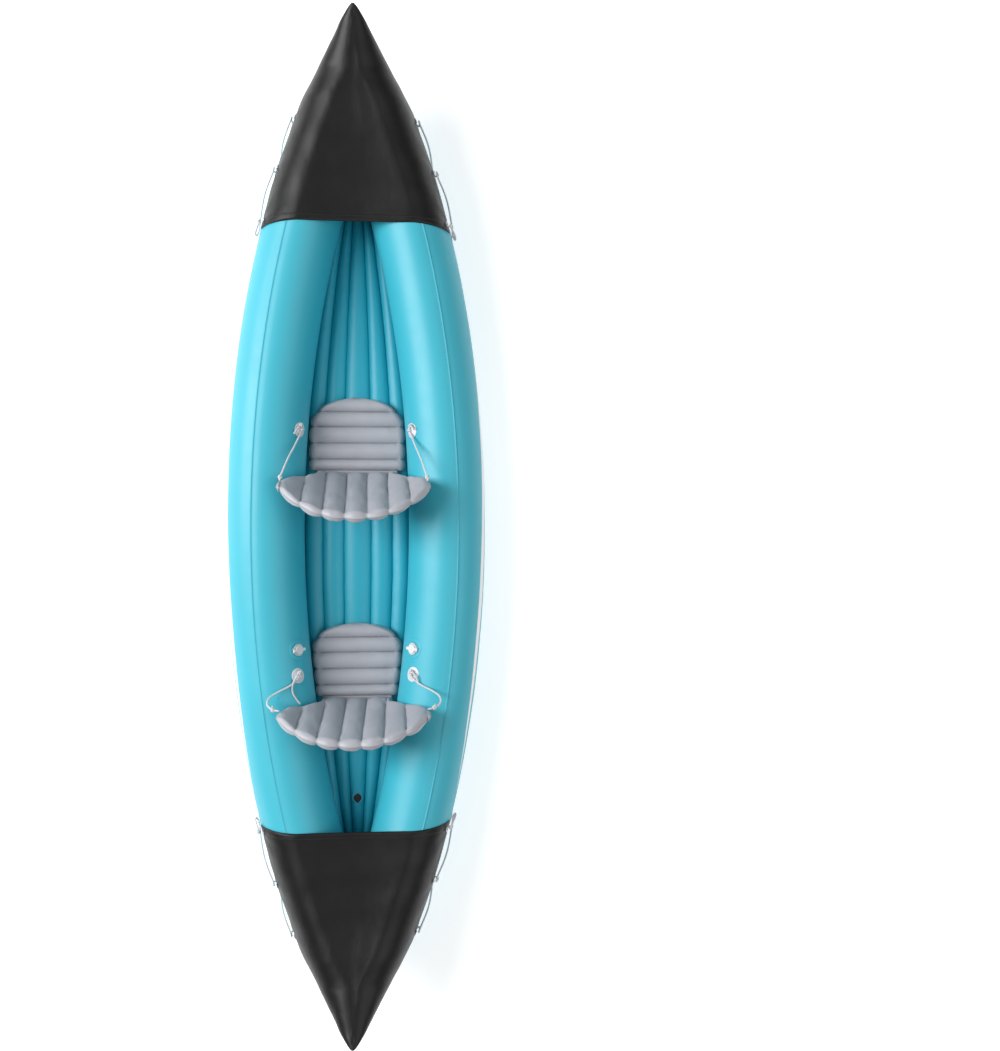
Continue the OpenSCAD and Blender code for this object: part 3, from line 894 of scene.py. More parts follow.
class KAYAK_OT_seat_ropes(bpy.types.Operator):
    """Ropes that hold the backrests up, from the patches on the side tubes to the wings"""

    bl_idname = "kayak.seat_ropes"
    bl_label = "Seat Ropes"

    def execute(self, context):
        d = seat_sizes().rope
        for where, points, lay in (("front", FRONT_ROPE, "taut"), ("rear", REAR_ROPE, "loose")):
            body = f"{where}_backrest"
            for side, port in SIDES:
                path = [flip_point(p, port) for p in spline(points, 6)]
                node = f"{where}_{side}_seat_rope"
                rope = cord_piece(f"{where}_{side}_rope", path, d, node)
                low, high = (flip_point(p, port) for p in (points[1], points[-2]))
                tail = [flip_point(p, port) for p in ROPE_TAILS[where][0 if port else 1]]
                hanging = [high + flip_point(step, port) for step in WING_TAIL]
                label = f"{where}_{side}_rope"
                knots = [
                    knot_piece(f"{label}_wing_knot", high, path[-1] - path[-5], d, hanging, body),
                    knot_piece(f"{label}_patch_knot", tail[0], path[0] - path[4], d, tail, "hull"),
                ]
                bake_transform(rope)
        return {"FINISHED"}


class KAYAK_OT_lacing_cords(bpy.types.Operator):
    """Cords laced between the eyelets of the covers and the patches below them"""

    bl_idname = "kayak.lacing_cords"
    bl_label = "Lacing Cords"

    def execute(self, context):
        d = cover_sizes().lacing
        for end, stern in ENDS:
            for side, port in SIDES:
                path = lacing_path(port, stern)
                node = f"{end}_{side}_lacing_cord"
                cord = cord_piece(f"{end}_{side}_lacing", path, d, node)
                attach(cord, "hull")
                for label, spot, along in (
                    ("first", path[2], path[0] - path[5]), ("last", path[-3], path[-1] - path[-6]),
                ):
                    out = 0.003 if spot.x > 0 else -0.003
                    tail = [spot, spot + Vector((out, 0, -0.007)), spot + Vector((2 * out, 0, -0.020))]
                    knot = f"{end}_{side}_lacing_{label}_knot"
                    knot_piece(knot, spot, along, d, tail, "hull")
        return {"FINISHED"}


# ---------------------------------------------------------------- chambers and skins


class KAYAK_OT_side_chambers(bpy.types.Operator):
    """The two long air tubes of the sides, with their welded ridge"""

    bl_idname = "kayak.side_chambers"
    bl_label = "Side Chambers"

    def execute(self, context):
        tubes = Tubes()
        weld = hull_sizes().weld_height
        beside_weld = [WELD_PHI + k for k in (-2.4, -1.5, -0.9, -0.5, 0, 0.5, 0.9, 1.5, 2.4)]
        phis = sorted(set([k * 3.6 for k in range(100)] + beside_weld))
        rows = 240
        for side, port in SIDES:
            grid, uvs, marks = [], [], []
            seed = 3.0 if port else 8.0
            for i in range(rows + 1):
                y = tubes.half_length * math.sin(math.radians(86.5) * (2 * i / rows - 1))
                for phi in phis:
                    away = abs(phi - WELD_PHI)
                    ridge = weld * math.exp(-((away / 0.85) ** 2))
                    dip = -0.5 * weld * math.exp(-(((away - 3.2) / 2.2) ** 2))
                    p = tubes.at(y, phi)
                    soft = 0.0007 * wobble(p.x, p.y, p.z, 0.16, seed)
                    ripple = 0.0006 * wobble(p.x * 0.3, p.y, p.z * 0.3, 0.022, seed)
                    ripple *= math.exp(-away / 7)
                    p = tubes.at(y, phi, ridge + dip + soft + ripple)
                    p.x = max(p.x, 0.0003)
                    grid.append(flip_point(p, port))
                    uvs.append((y, math.radians(phi) * tubes.half_width))
                    marks.append(math.exp(-away / 6) if away > 1.2 else 1.0)
            cols = len(phis)
            faces = grid_faces(rows + 1, cols, wrap=True)
            faces.append(tuple(range(cols))[::-1])
            faces.append(tuple(rows * cols + k for k in range(cols)))
            piece = outward(new_piece(f"{side}_tube", grid, faces, uvs, {"weld": marks}))
            self.cut_valve_wells(piece, tubes, port)
            finish_piece(piece, material("hull"), "hull_pvc", "hull", f"{side}_side_chamber")
        return {"FINISHED"}

    def cut_valve_wells(self, piece, tubes, port):
        """Presses the tube in under each valve, so that the valve's neck is free."""
        depth, reach_in = 0.004, 0.03
        wells = [(tubes.place(*SIDE_VALVE), 0.0175)]
        if port:
            wells.append((tubes.place(*DRAIN_VALVE), 0.025))
        for frame_matrix, radius in wells:
            inverse = frame_matrix.inverted()
            for v in piece.data.vertices:
                local = inverse @ flip_point(v.co, port)
                if math.hypot(local.x, local.y) < radius and abs(local.z) < reach_in:
                    local.z -= depth
                    v.co = flip_point(frame_matrix @ local, port)


class KAYAK_OT_valve_welds(bpy.types.Operator):
    """Round reinforcements welded to the tubes under the valves"""

    bl_idname = "kayak.valve_welds"
    bl_label = "Valve Welds"

    def execute(self, context):
        tubes = Tubes()
        for name, (y, phi), hole, rim, high, port in (
            ("port_valve_weld", SIDE_VALVE, 0.0212, 0.036, 0.0013, True),
            ("starboard_valve_weld", SIDE_VALVE, 0.0212, 0.036, 0.0013, False),
            ("drain_valve_weld", DRAIN_VALVE, 0.0300, 0.047, 0.0005, True),
        ):
            heap = Heap()
            add_bent_ring(heap, tubes, y, phi, hole, rim, 0.0003, high, port)
            piece = heap.piece(name)
            mark_all(piece, "weld", 0.25)
            finish_piece(piece, material("tape"), "hull_pvc", "hull")
        for name, inner, outer, top, look, slot in (
            ("floor_valve_weld", 0.0142, 0.0185, 0.0009, "tape", "hull_pvc"),
            ("floor_valve_flange", 0.0108, 0.0142, 0.0020, "valve_black", "valve_black"),
        ):
            profile = [
                (inner, -0.0006), (inner, top - 0.0003), (inner + 0.0003, top),
                (outer - 0.0006, top), (outer, top * 0.5), (outer, -0.0006),
            ]
            heap = Heap()
            spot = Matrix.Translation((0, FLOOR_VALVE_Y, hull_sizes().floor_top))
            heap.add(*lathe(profile, 48), matrix=spot)
            piece = heap.piece(name)
            mark_all(piece, "weld", 0.2)
            finish_piece(piece, material(look), slot, "hull")
        return {"FINISHED"}


def mark_all(piece, mark, value):
    count = len(piece.data.vertices)
    piece.data.attributes.new(mark, "FLOAT", "POINT").data.foreach_set("value", [value] * count)


def bent_point(tubes, y, phi, r, turn, off):
    """A point on a disc wrapped onto the tube."""
    around = r * math.sin(turn) / tubes.half_width
    return tubes.at(y + r * math.cos(turn), phi + math.degrees(around), off)


def add_bent_ring(heap, tubes, y, phi, inner, outer, low, high, port=False, stern=False, segments=56):
    """A flat ring with a rounded rim, wrapped onto the tube."""
    profile = [
        (inner, low), (inner, high * 0.8), (inner + 0.0006, high),
        (outer - 0.0012, high), (outer - 0.0003, high * 0.8), (outer, low),
    ]
    verts, faces, uvs = [], [], []
    count = len(profile)
    for s in range(segments):
        turn = 2 * math.pi * s / segments
        for r, off in profile:
            verts.append(flip_point(bent_point(tubes, y, phi, r, turn, off), port, stern))
            uvs.append((r * math.cos(turn), r * math.sin(turn)))
    for s in range(segments):
        t = (s + 1) % segments
        for k in range(count):
            m = (k + 1) % count
            faces.append((s * count + k, t * count + k, t * count + m, s * count + m))
    heap.add(verts, faces, uvs)


def floor_x(tubes, y):
    s = hull_sizes()
    return clamp(tubes.inner(y, s.floor_top - 0.005) - 0.003, 0.004, s.floor_half)


def floor_columns(per_ridge):
    """Shares across the floor, crowded towards the grooves."""
    out = []
    edges = [-edge for edge in RIDGES[:0:-1]] + list(RIDGES[1:])
    for a, b in zip(edges, edges[1:]):
        for k in range(per_ridge):
            out.append(mix(a, b, 0.5 - 0.5 * math.cos(math.pi * k / per_ridge)))
    return out + [1.0]


class KAYAK_OT_floor_chamber(bpy.types.Operator):
    """The air floor: five tubes side by side, welded along the grooves"""

    bl_idname = "kayak.floor_chamber"
    bl_label = "Floor Chamber"

    def execute(self, context):
        tubes = Tubes()
        s = hull_sizes()
        cols = floor_columns(14)
        rows, reach = 300, 1.258
        outer_foot, underside = 0.058, 0.022
        sheet = Sheet()
        for i in range(rows + 1):
            y = reach * (2 * i / rows - 1)
            half = floor_x(tubes, y)
            ends = math.sqrt(max(0.0, 1 - (y / (reach + MM)) ** 24))
            sheet.start_row()
            for f in cols:
                q = ridge_share(f)
                width = half * (0.5 if abs(f) <= RIDGES[1] else 0.39)
                away = min(q, 1 - q) * width
                lift = puff(q, 0.5)
                foot = s.floor_top - s.groove_depth
                if abs(f) > RIDGES[2]:
                    foot = mix(foot, outer_foot, q)
                pinch = math.exp(-away / 0.011)
                pucker = 0.0022 * pinch * wobble(0.0, y, q, 0.018, 5.0 + round(f * 3))
                z = mix(foot, s.floor_top, lift * ends) + pucker * (1 - math.exp(-away / 0.003))
                z += 0.0008 * wobble(f * half, y, 0.0, 0.12, 2.0)
                sideways = 0.0012 * pinch * wobble(3.0, y, q, 0.05, 1.0)
                sheet.add(
                    Vector((f * half + sideways, y, z)),
                    Vector((f * half, y, underside + end_rise(y))),
                    (y, f * half),
                    1.0 if away < 0.0016 else math.exp(-away / 0.012),
                )
        piece = sheet.piece("floor_tubes")
        self.seat_valve(piece, s.floor_top)
        finish_piece(piece, material("floor"), "floor_pvc", "hull", "floor_chamber")
        return {"FINISHED"}

    def seat_valve(self, piece, top):
        """Flattens the floor round its valve, and presses it in under the neck."""
        neck, flat, edge = 0.0105, 0.0185, 0.024
        middle = 0.050
        for v in piece.data.vertices:
            reach = math.hypot(v.co.x, v.co.y - FLOOR_VALVE_Y)
            if reach < edge and v.co.z > middle:
                level = top - 0.0004 - (0.004 if reach < neck else 0.0)
                v.co.z = mix(v.co.z, level, 1 - ease(flat, edge, reach))


class KAYAK_OT_bottom_skin(bpy.types.Operator):
    """The black bottom: ridges under the floor and a flat border welded to the tubes"""

    bl_idname = "kayak.bottom_skin"
    bl_label = "Bottom Skin"

    def execute(self, context):
        tubes = Tubes()
        s = hull_sizes()
        border = [1.06, 1.25, 1.5, 1.75, 2.0]
        cols = [-k for k in reversed(border)] + floor_columns(14) + border
        rows = 260
        thickness = Vector((0, 0, 0.0025))
        sheet = Sheet()
        for i in range(rows + 1):
            y = s.skin_length * math.sin(math.pi / 2 * (2 * i / rows - 1))
            sheet.start_row()
            for k in cols:
                p, away = self.point(tubes, s, k, y)
                mark = 1.0 if away < 0.002 else math.exp(-away / 0.018)
                sheet.add(p + thickness, p, (y, p.x), mark)
        piece = sheet.piece("bottom_sheet")
        finish_piece(piece, material("skin"), "skin_pvc", "hull", "bottom_skin")
        return {"FINISHED"}

    def point(self, tubes, s, k, y):
        """Point of the skin and its distance to a weld, for k up to 1 on the ridges, up to 2 outside."""
        half = s.skin_half * max(0.0, 1 - (y / (s.skin_length + MM)) ** 2) ** 0.75
        rim = half - min(0.030, 0.25 * half)
        inner = min(RIDGES[2] * floor_x(tubes, y), 0.7 * rim)
        rise = end_rise(y)
        side = -1 if k < 0 else 1
        a = abs(k)
        below_tube, valley = 0.0045, 0.015
        rim_z = tubes.under(rim, y) - below_tube
        if a <= RIDGES[2]:
            q = ridge_share(k)
            x = k / RIDGES[2] * inner
            width = inner * (0.78 if a <= RIDGES[1] else 0.61)
            away = min(q, 1 - q) * width
            z = valley * (1 - puff(q, 0.55)) + rise
        elif a <= 1:
            q = ridge_share(k)
            x = side * mix(inner, rim, q)
            away = min(q, 1 - q) * (rim - inner)
            z = mix(mix(valley + rise, rim_z, q), 0.0005 + rise, puff(q, 0.6))
        else:
            x = side * mix(rim, half, a - 1)
            away = 1.0
            z = tubes.under(x, y) - below_tube
        pucker = 0.0016 * math.exp(-away / 0.014) * wobble(k, y, 0.0, 0.026, 4.0)
        wave = 0.0006 * wobble(k, y, 0.0, 0.09, 9.0)
        if rise == 0 and a <= 1:
            z = max(z + abs(pucker) + abs(wave), 0.0)
        return Vector((x, y, z)), away


class KAYAK_OT_seam_tapes(bpy.types.Operator):
    """Strips over the stems, where the two side tubes are welded together"""

    bl_idname = "kayak.seam_tapes"
    bl_label = "Seam Tapes"

    def execute(self, context):
        tubes = Tubes()
        half = 0.027
        for end, stern in ENDS:
            sheet = Sheet()
            for i in range(41):
                y = tubes.half_length - mix(0.297, 0.114, i / 40)
                sheet.start_row()
                for j in range(25):
                    x = half * (2 * j / 24 - 1)
                    under = tubes.under(max(abs(x), 0.010), y)
                    thin = 0.0012 if abs(x) > half * 0.93 else 0.0
                    ripple = 0.0005 * wobble(x, y, 0.0, 0.02, 6.0)
                    sheet.add(
                        flip_point((x, y, under - 0.0030), stern=stern),
                        flip_point((x, y, under - 0.0062 + thin + ripple), stern=stern),
                        (y, x),
                        math.exp(-(half - abs(x)) / 0.006),
                    )
            piece = sheet.piece(f"{end}_stem_strip")
            finish_piece(piece, material("tape"), "tape_pvc", "hull", f"{end}_seam_tape")
        return {"FINISHED"}


# ---------------------------------------------------------------- covers and lacing fittings


def cover_edge(d):
    """Height of the lower edge of a cover at a distance d from the tip."""
    return 0.236 + 0.046 * max(0.0, 1 - max(0.0, d - 0.110) / 0.450) ** 2


class KAYAK_OT_end_covers(bpy.types.Operator):
    """Black covers stretched over bow and stern, hemmed and laced down"""

    bl_idname = "kayak.end_covers"
    bl_label = "End Covers"

    SIDE_STEPS, TOP_STEPS = 26, 14

    def execute(self, context):
        tubes = Tubes()
        for end, stern in ENDS:
            piece, area = self.cover(tubes, f"{end}_deck_cover", stern)
            finish_piece(piece, material("cover"), "cover_fabric", "hull", f"{end}_cover")
        return {"FINISHED"}

    def cover(self, tubes, name, stern):
        s = cover_sizes()
        rows = 96
        sheet = Sheet()
        for i in range(rows + 1):
            d = s.length * (1 - i / rows) ** 1.35
            sheet.start_row()
            for j in range(2 * self.SIDE_STEPS + self.TOP_STEPS + 1):
                p, out, down = self.point(tubes, s, d, j)
                above = flip_point(p + out * s.cloth, stern=stern)
                sheet.add(above, flip_point(p, stern=stern), None, min(down, s.length - d))
            row = sheet.upper[-1]
            runs = [0.0]
            for a, b in zip(row, row[1:]):
                runs.append(runs[-1] + (b - a).length)
            sheet.uvs[-1] = [(d, run - runs[-1] / 2) for run in runs]
        return sheet.piece(name, "edge"), self.area(sheet.upper)

    def area(self, grid):
        total = 0.0
        for a, b in zip(grid, grid[1:]):
            for j in range(len(a) - 1):
                total += (a[j + 1] - a[j]).cross(b[j] - a[j]).length / 2
                total += (b[j + 1] - b[j]).cross(b[j + 1] - a[j + 1]).length / 2
        return total

    def point(self, tubes, s, d, j):
        """Point, outward direction and distance to the lower edge."""
        side_steps, top_steps = self.SIDE_STEPS, self.TOP_STEPS
        last = 2 * side_steps + top_steps
        port = j > last / 2
        k = last - j if port else j
        # The cockpit edge bows towards the tip in the middle, where the cloth is drawn.
        bow = 0.010 * ease(0.0, last / 2, k) * ease(s.length - 0.10, s.length, d)
        y = tubes.half_length - d + bow
        base = tubes.half_length - d
        scallop = sum(0.007 * math.exp(-(((d - e) / 0.030) ** 2)) for e, _ in EYELETS)
        edge = cover_edge(d) + 0.004 - scallop
        low = tubes.phi(base, edge)
        # The flat between the tube tops fades out smoothly towards the tip.
        half = tubes.a(y) + tubes.x(y)
        soft = 0.030 * min(1.0, half / 0.150)
        x0 = max((tubes.x(y) + math.hypot(tubes.x(y), soft)) / 2, 0.0008)
        a = max(half - x0, 0.0001)
        b = tubes.b(y)
        if k <= side_steps:
            phi = math.radians(mix(low, 90.0, (k / side_steps) ** 1.15))
            out = Vector((math.cos(phi), 0.0, math.sin(phi)))
            down = (phi - math.radians(low)) * (a + b) / 2
            p = Vector((x0 + a * math.cos(phi), y, tubes.z(y) + b * math.sin(phi)))
        else:
            share = (k - side_steps) / (top_steps / 2)
            out = Vector((0.0, 0.0, 1.0))
            down = 0.5
            gap = x0 * (1 - share)
            # Between the tube tops the cloth hangs in a shallow hollow.
            sag = 0.055 * x0 * (1 - (gap / x0) ** 2) * ease(0.0, 0.25, d) if x0 > 0.01 else 0.0
            p = Vector((gap, y, tubes.z(y) + b - sag))
        lift = 0.0016 + self.folds(Vector((-p.x, p.y, p.z)) if port else p, d, down)
        p = p + out * lift
        if port:
            p.x, out.x = -p.x, -out.x
        return p, out, down

    def folds(self, p, d, down):
        """Tension creases that fan out of the eyelets, and slow waves over the deck."""
        total = 0.0
        for e, _ in EYELETS:
            across, up = d - e, down
            reach = math.hypot(across, up)
            turn = math.atan2(across, up + 0.004)
            total += 0.0016 * math.exp(-reach / 0.075) * math.cos(7 * turn) * ease(0.004, 0.03, reach)
        total += 0.0016 * wobble(p.x * 0.5, p.y, p.z, 0.085, 4.0)
        total += 0.0011 * wobble(p.x, p.y * 0.3, p.z, 0.040, 9.0)
        return max(total, -0.0006)


class KAYAK_OT_cover_eyelets(bpy.types.Operator):
    """Pressed metal eyelets in the hems of the covers"""

    bl_idname = "kayak.cover_eyelets"
    bl_label = "Cover Eyelets"

    def execute(self, context):
        tubes = Tubes()
        outer = cover_sizes().eyelet_radius
        profile = []
        middle, thick = (outer + 0.0045) / 2, (outer - 0.0045) / 2
        for k in range(14):
            turn = 2 * math.pi * k / 14
            profile.append((middle + thick * math.cos(turn), 0.0012 + 0.0013 * math.sin(turn)))
        for end, stern in ENDS:
            heap = Heap()
            for d, height in EYELETS:
                y = tubes.half_length - d
                spot = tubes.place(y, tubes.phi(y, height), 0.0042)
                for port in (False, True):
                    verts, faces = lathe(profile, 36)
                    verts = [flip_point(spot @ Vector(v), port, stern) for v in verts]
                    heap.add(verts, faces)
            piece = heap.piece(f"{end}_eyelets")
            finish_piece(piece, material("eyelet"), "eyelet_metal", "hull", f"{end}_cover_eyelets")
        return {"FINISHED"}


def add_patch(heap, tubes, y, phi, port=False, stern=False):
    """A welded disc with a raised middle and a moulded loop."""
    r = cover_sizes().patch / 2
    profile = [
        (0.0, 0.0054), (0.25 * r, 0.0053), (0.42 * r, 0.0046), (0.50 * r, 0.0034), (0.58 * r, 0.0028),
        (0.62 * r, 0.0022), (0.80 * r, 0.0022), (0.93 * r, 0.0022), (0.98 * r, 0.0016), (r, 0.0007),
    ]
    segments = 48
    verts, faces, uvs = [], [], []
    for radius, off in profile:
        for s in range(segments):
            turn = 2 * math.pi * s / segments
            verts.append(flip_point(bent_point(tubes, y, phi, max(radius, 0.0002), turn, off), port, stern))
            uvs.append((radius * math.cos(turn), radius * math.sin(turn)))
    faces = grid_faces(len(profile), segments, wrap=True)
    faces.append(tuple(range(segments)))
    heap.add(verts, faces, uvs)
    spot = tubes.place(y, phi, 0.011)
    ring = [
        Vector((0.0060 * math.cos(2 * math.pi * k / 40), 0.0, 0.0060 * math.sin(2 * math.pi * k / 40)))
        for k in range(40)
    ]
    verts, faces, uvs = tube_along(ring, 0.0018, 12, closed=True)
    wide = []
    for v in verts:
        spread = 1.7 if v.z < 0 else mix(1.7, 1.2, clamp(v.z / 0.006, 0, 1))
        wide.append(flip_point(spot @ Vector((v.x * 1.02, v.y * spread, v.z)), port, stern))
    heap.add(wide, faces, uvs)


class KAYAK_OT_patches(bpy.types.Operator):
    """Welded patches with loops for the lacing and the seat ropes"""

    bl_idname = "kayak.patches"
    bl_label = "Patches"

    def execute(self, context):
        tubes = Tubes()
        for end, stern in ENDS:
            heap = Heap()
            for d, height in LACING_PATCHES:
                y = tubes.half_length - d
                for port in (False, True):
                    add_patch(heap, tubes, y, tubes.phi(y, height), port, stern)
            piece = heap.piece(f"{end}_patches")
            finish_piece(piece, material("patch"), "patch_pvc", "hull", f"{end}_lacing_patches")
        heap = Heap()
        for y, phi in (FRONT_PATCH, REAR_PATCH):
            for port in (False, True):
                add_patch(heap, tubes, y, phi, port)
        piece = heap.piece("seat_patches")
        finish_piece(piece, material("patch"), "patch_pvc", "hull", "seat_rope_patches")
        return {"FINISHED"}


# ---------------------------------------------------------------- seats


class KAYAK_OT_seat_pans(bpy.types.Operator):
    """Seat pans: five air tubes across, in a rounded outline with a welded border"""

    bl_idname = "kayak.seat_pans"
    bl_label = "Seat Pans"

    WELDS = (0.008, 0.047, 0.103, 0.160, 0.212, 0.259)
    ROUNDED = 0.45
    ACROSS = 72

    def execute(self, context):
        s = seat_sizes()
        tubes = Tubes()
        for where, fold in (("front", s.front_fold), ("rear", s.rear_fold)):
            piece = self.pan(tubes, f"{where}_pan", fold, 2.0 if where == "front" else 7.0)
            finish_piece(piece, material("seat"), "seat_pvc", "hull", f"{where}_seat_pan")
        return {"FINISHED"}

    def half(self, tubes, s, run, fold):
        """Half the width of the pan at a distance from its fold."""
        rounding = self.ROUNDED * s.pan_length
        q = clamp((run - (s.pan_length - rounding)) / rounding, 0.0, 1.0)
        room = tubes.inner(fold + max(run, 0.03), hull_sizes().floor_top + 0.040) - 0.003
        return min(s.pan_half, room) * math.sqrt(max(0.0, 1 - q ** 2.6))

    def pan(self, tubes, name, fold, seed):
        s = seat_sizes()
        welds = self.WELDS
        runs = []
        for a, b in zip(welds, welds[1:]):
            for k in range(14):
                runs.append(mix(a, b, 0.5 - 0.5 * math.cos(math.pi * k / 14)))
        runs += [welds[-1], s.pan_length - 0.0006]
        across = [math.sin(math.pi / 2 * (2 * j / self.ACROSS - 1)) for j in range(self.ACROSS + 1)]
        middle = hull_sizes().floor_top + 0.0225
        sheet = Sheet()
        for run in runs:
            lobe = 0
            while lobe < len(welds) - 2 and run > welds[lobe + 1]:
                lobe += 1
            q = clamp((run - welds[lobe]) / (welds[lobe + 1] - welds[lobe]), 0.0, 1.0)
            width = welds[lobe + 1] - welds[lobe]
            half = max(self.half(tubes, s, run, fold) - 0.010 * (1 - puff(q, 0.6)), 0.012)
            sheet.start_row()
            for v in across:
                x = v * half
                inset = half - abs(x) - 0.002
                ends = math.sqrt(clamp(inset / 0.024, 0.0, 1.0) * (2 - clamp(inset / 0.024, 0.0, 1.0)))
                away = min(q, 1 - q) * width
                reach = ease(0.0, 0.022, inset)
                pinch = math.exp(-away / 0.012) * reach
                groove = mix(0.60, 0.08, reach)
                body = s.pan_puff / 2 * (groove + (1 - groove) * puff(q, 0.5)) * ends
                if run > welds[-1] or run < welds[0] + 1e-6:
                    body = 0.0
                crease = 0.0030 * pinch * ends * wobble(x, fold + run * 0.3, 0.0, 0.020, seed)
                swell = 0.0016 * ends * wobble(x, run, 0.0, 0.06, seed + 3)
                puffed = max(0.0008, body + (crease + swell) * (1 - math.exp(-away / 0.003)))
                sheet.add(
                    Vector((x, fold + run, middle + puffed)),
                    Vector((x, fold + run, middle - min(puffed, 0.0205))),
                    (x, run),
                    pinch,
                )
        return sheet.piece(name)


class KAYAK_OT_backrests(bpy.types.Operator):
    """Backrests: seven upright air tubes side by side, welded round a full, scalloped rim"""

    bl_idname = "kayak.backrests"
    bl_label = "Backrests"

    LOBE = 0.070
    TUBES = 7
    FOOT = 0.012
    SHOULDER = 0.31

    def execute(self, context):
        s = seat_sizes()
        tubes = Tubes()
        for where, fold, lean, cup in (
            ("front", s.front_fold, 23.0, s.front_cup),
            ("rear", s.rear_fold, 13.0, s.rear_cup),
        ):
            body = f"{where}_backrest"
            place = Matrix.Translation((0, fold, s.fold_height)) @ Matrix.Rotation(math.radians(lean), 4, "X")
            waist = min(0.140, tubes.inner(fold, 0.160) - 0.018)
            piece = self.back(f"{where}_back", place, waist, cup, fold)
            finish_piece(piece, material("seat"), "seat_pvc", body, f"{where}_seat_back")
            web = self.web(f"{where}_fold_web", place, waist, fold)
            web.data.materials.append(material("seat"))
            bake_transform(web)
        return {"FINISHED"}

    def width(self, h, waist):
        """Half the width of the backrest: narrow at the fold, full at the wings."""
        share = clamp((h - 0.080) / 0.185, 0.0, 1.0)
        return mix(waist, seat_sizes().back_half, math.sin(math.pi / 2 * share) ** 2)

    def back(self, name, place, waist, cup, seed):
        s = seat_sizes()
        cols, rows, border = 150, 76, 0.003
        skew = 0.008 * (1 if seed > 0 else -1)
        sheet = Sheet()
        for i in range(rows + 1):
            t = 1 - (1 - i / rows) ** 1.5
            sheet.start_row()
            for j in range(cols + 1):
                v = math.sin(math.pi / 2 * (2 * j / cols - 1)) * 0.35 + (2 * j / cols - 1) * 0.65
                top = s.back_height * (1 - self.SHOULDER * abs(v) ** 3)
                h = mix(self.FOOT, top, t)
                half = self.width(h, waist)
                lobe = (v * half - skew * (h / 0.4)) / self.LOBE + self.TUBES / 2
                q = lobe % 1.0 if 0 <= lobe <= self.TUBES else 0.5
                # The rim is scalloped: each tube stands a little higher than the weld beside it.
                crown = top - 0.011 * (1 - puff(q, 0.7))
                h = mix(self.FOOT, crown, t)
                half = self.width(h, waist)
                x = v * half
                to_rim = min(crown - h, (1 - abs(v)) * half * 0.85) - border
                above_fold = h - 0.016
                rim = clamp(to_rim / 0.022, 0.0, 1.0)
                fold = clamp(above_fold / 0.054, 0.0, 1.0)
                ends = math.sqrt(rim * (2 - rim)) * math.sqrt(fold * (2 - fold))
                # The welds between the tubes stop short of the rim.
                reach = ease(0.0, 0.030, to_rim) * ease(0.0, 0.02, above_fold)
                away = min(q, 1 - q) * self.LOBE
                pinch = math.exp(-away / 0.013) * reach
                groove = mix(0.62, 0.06, reach)
                body = s.back_puff / 2 * (groove + (1 - groove) * puff(q, 0.5)) * ends
                to_weld = min(away, max(to_rim, 0.0))
                crease = 0.0062 * math.exp(-to_weld / 0.014) * wobble(x, h * 0.5, 0.0, 0.020, seed * 7 + 1)
                swell = 0.0030 * wobble(x, h, 0.0, 0.080, seed * 7 + 4)
                puffed = max(0.0008, body + (crease + swell) * ends * (1 - math.exp(-away / 0.003)))
                mid = cup * v * v * min(1.0, h / 0.220)
                front, behind = Vector((x, mid + puffed, h)), Vector((x, mid - puffed, h))
                sheet.add(place @ front, place @ behind, (x, h), pinch)
        return sheet.piece(name)

    def web(self, name, place, waist, fold):
        """The flat flap between pan and backrest, on which the seat folds."""
        points = [
            Vector((0, fold + 0.018, 0.1175)), Vector((0, fold + 0.008, 0.1178)),
            Vector((0, fold, 0.1195)), place @ Vector((0, 0, 0.010)), place @ Vector((0, 0, 0.026)),
        ]
        line = spline([tuple(p) for p in points], 5)
        across = [Vector((x * waist / 20, 0, 0)) for x in range(-20, 21)]
        sheet = Sheet()
        for k, p in enumerate(line):
            behind, ahead = line[max(k - 1, 0)], line[min(k + 1, len(line) - 1)]
            along = (ahead - behind).normalized()
            out = Vector((0, along.z, -along.y)) * -0.0009
            sheet.start_row()
            for step in across:
                sheet.add(step + p + out, step + p - out, (step.x, k * 0.004), 0.6)
        return sheet.piece(name)


# ---------------------------------------------------------------- valves


class KAYAK_OT_valves(bpy.types.Operator):
    """Finishes of the moulded valves, which keep their own shapes"""

    bl_idname = "kayak.valves"
    bl_label = "Valves"

    def execute(self, context):
        wanted = {}
        for valve in ("port_valve", "starboard_valve", "drain_valve"):
            wanted[f"{valve}_base"] = "valve"
            wanted[f"{valve}_flap"] = "rubber"
            wanted[f"{valve}_cap"] = "valve" if valve == "drain_valve" else "valve_cap"
        wanted["floor_valve_base"] = "valve_black"
        wanted["floor_valve_flap"] = "rubber"
        wanted["floor_valve_cap"] = "valve_black"
        for seat in ("front_seat", "rear_seat"):
            wanted[f"{seat}_valve_base"] = "valve"
            wanted[f"{seat}_valve_stopper"] = "valve_cap"
        for node, finish in wanted.items():
            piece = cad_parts[node]
            piece.data.materials.clear()
            piece.data.materials.append(material(finish))
            bevel = piece.modifiers.new("soft_edges", "BEVEL")
            bevel.width = 0.0005
            bevel.segments = 2
            bevel.limit_method = "ANGLE"
            bevel.angle_limit = math.radians(40)
        return {"FINISHED"}


# ---------------------------------------------------------------- stage


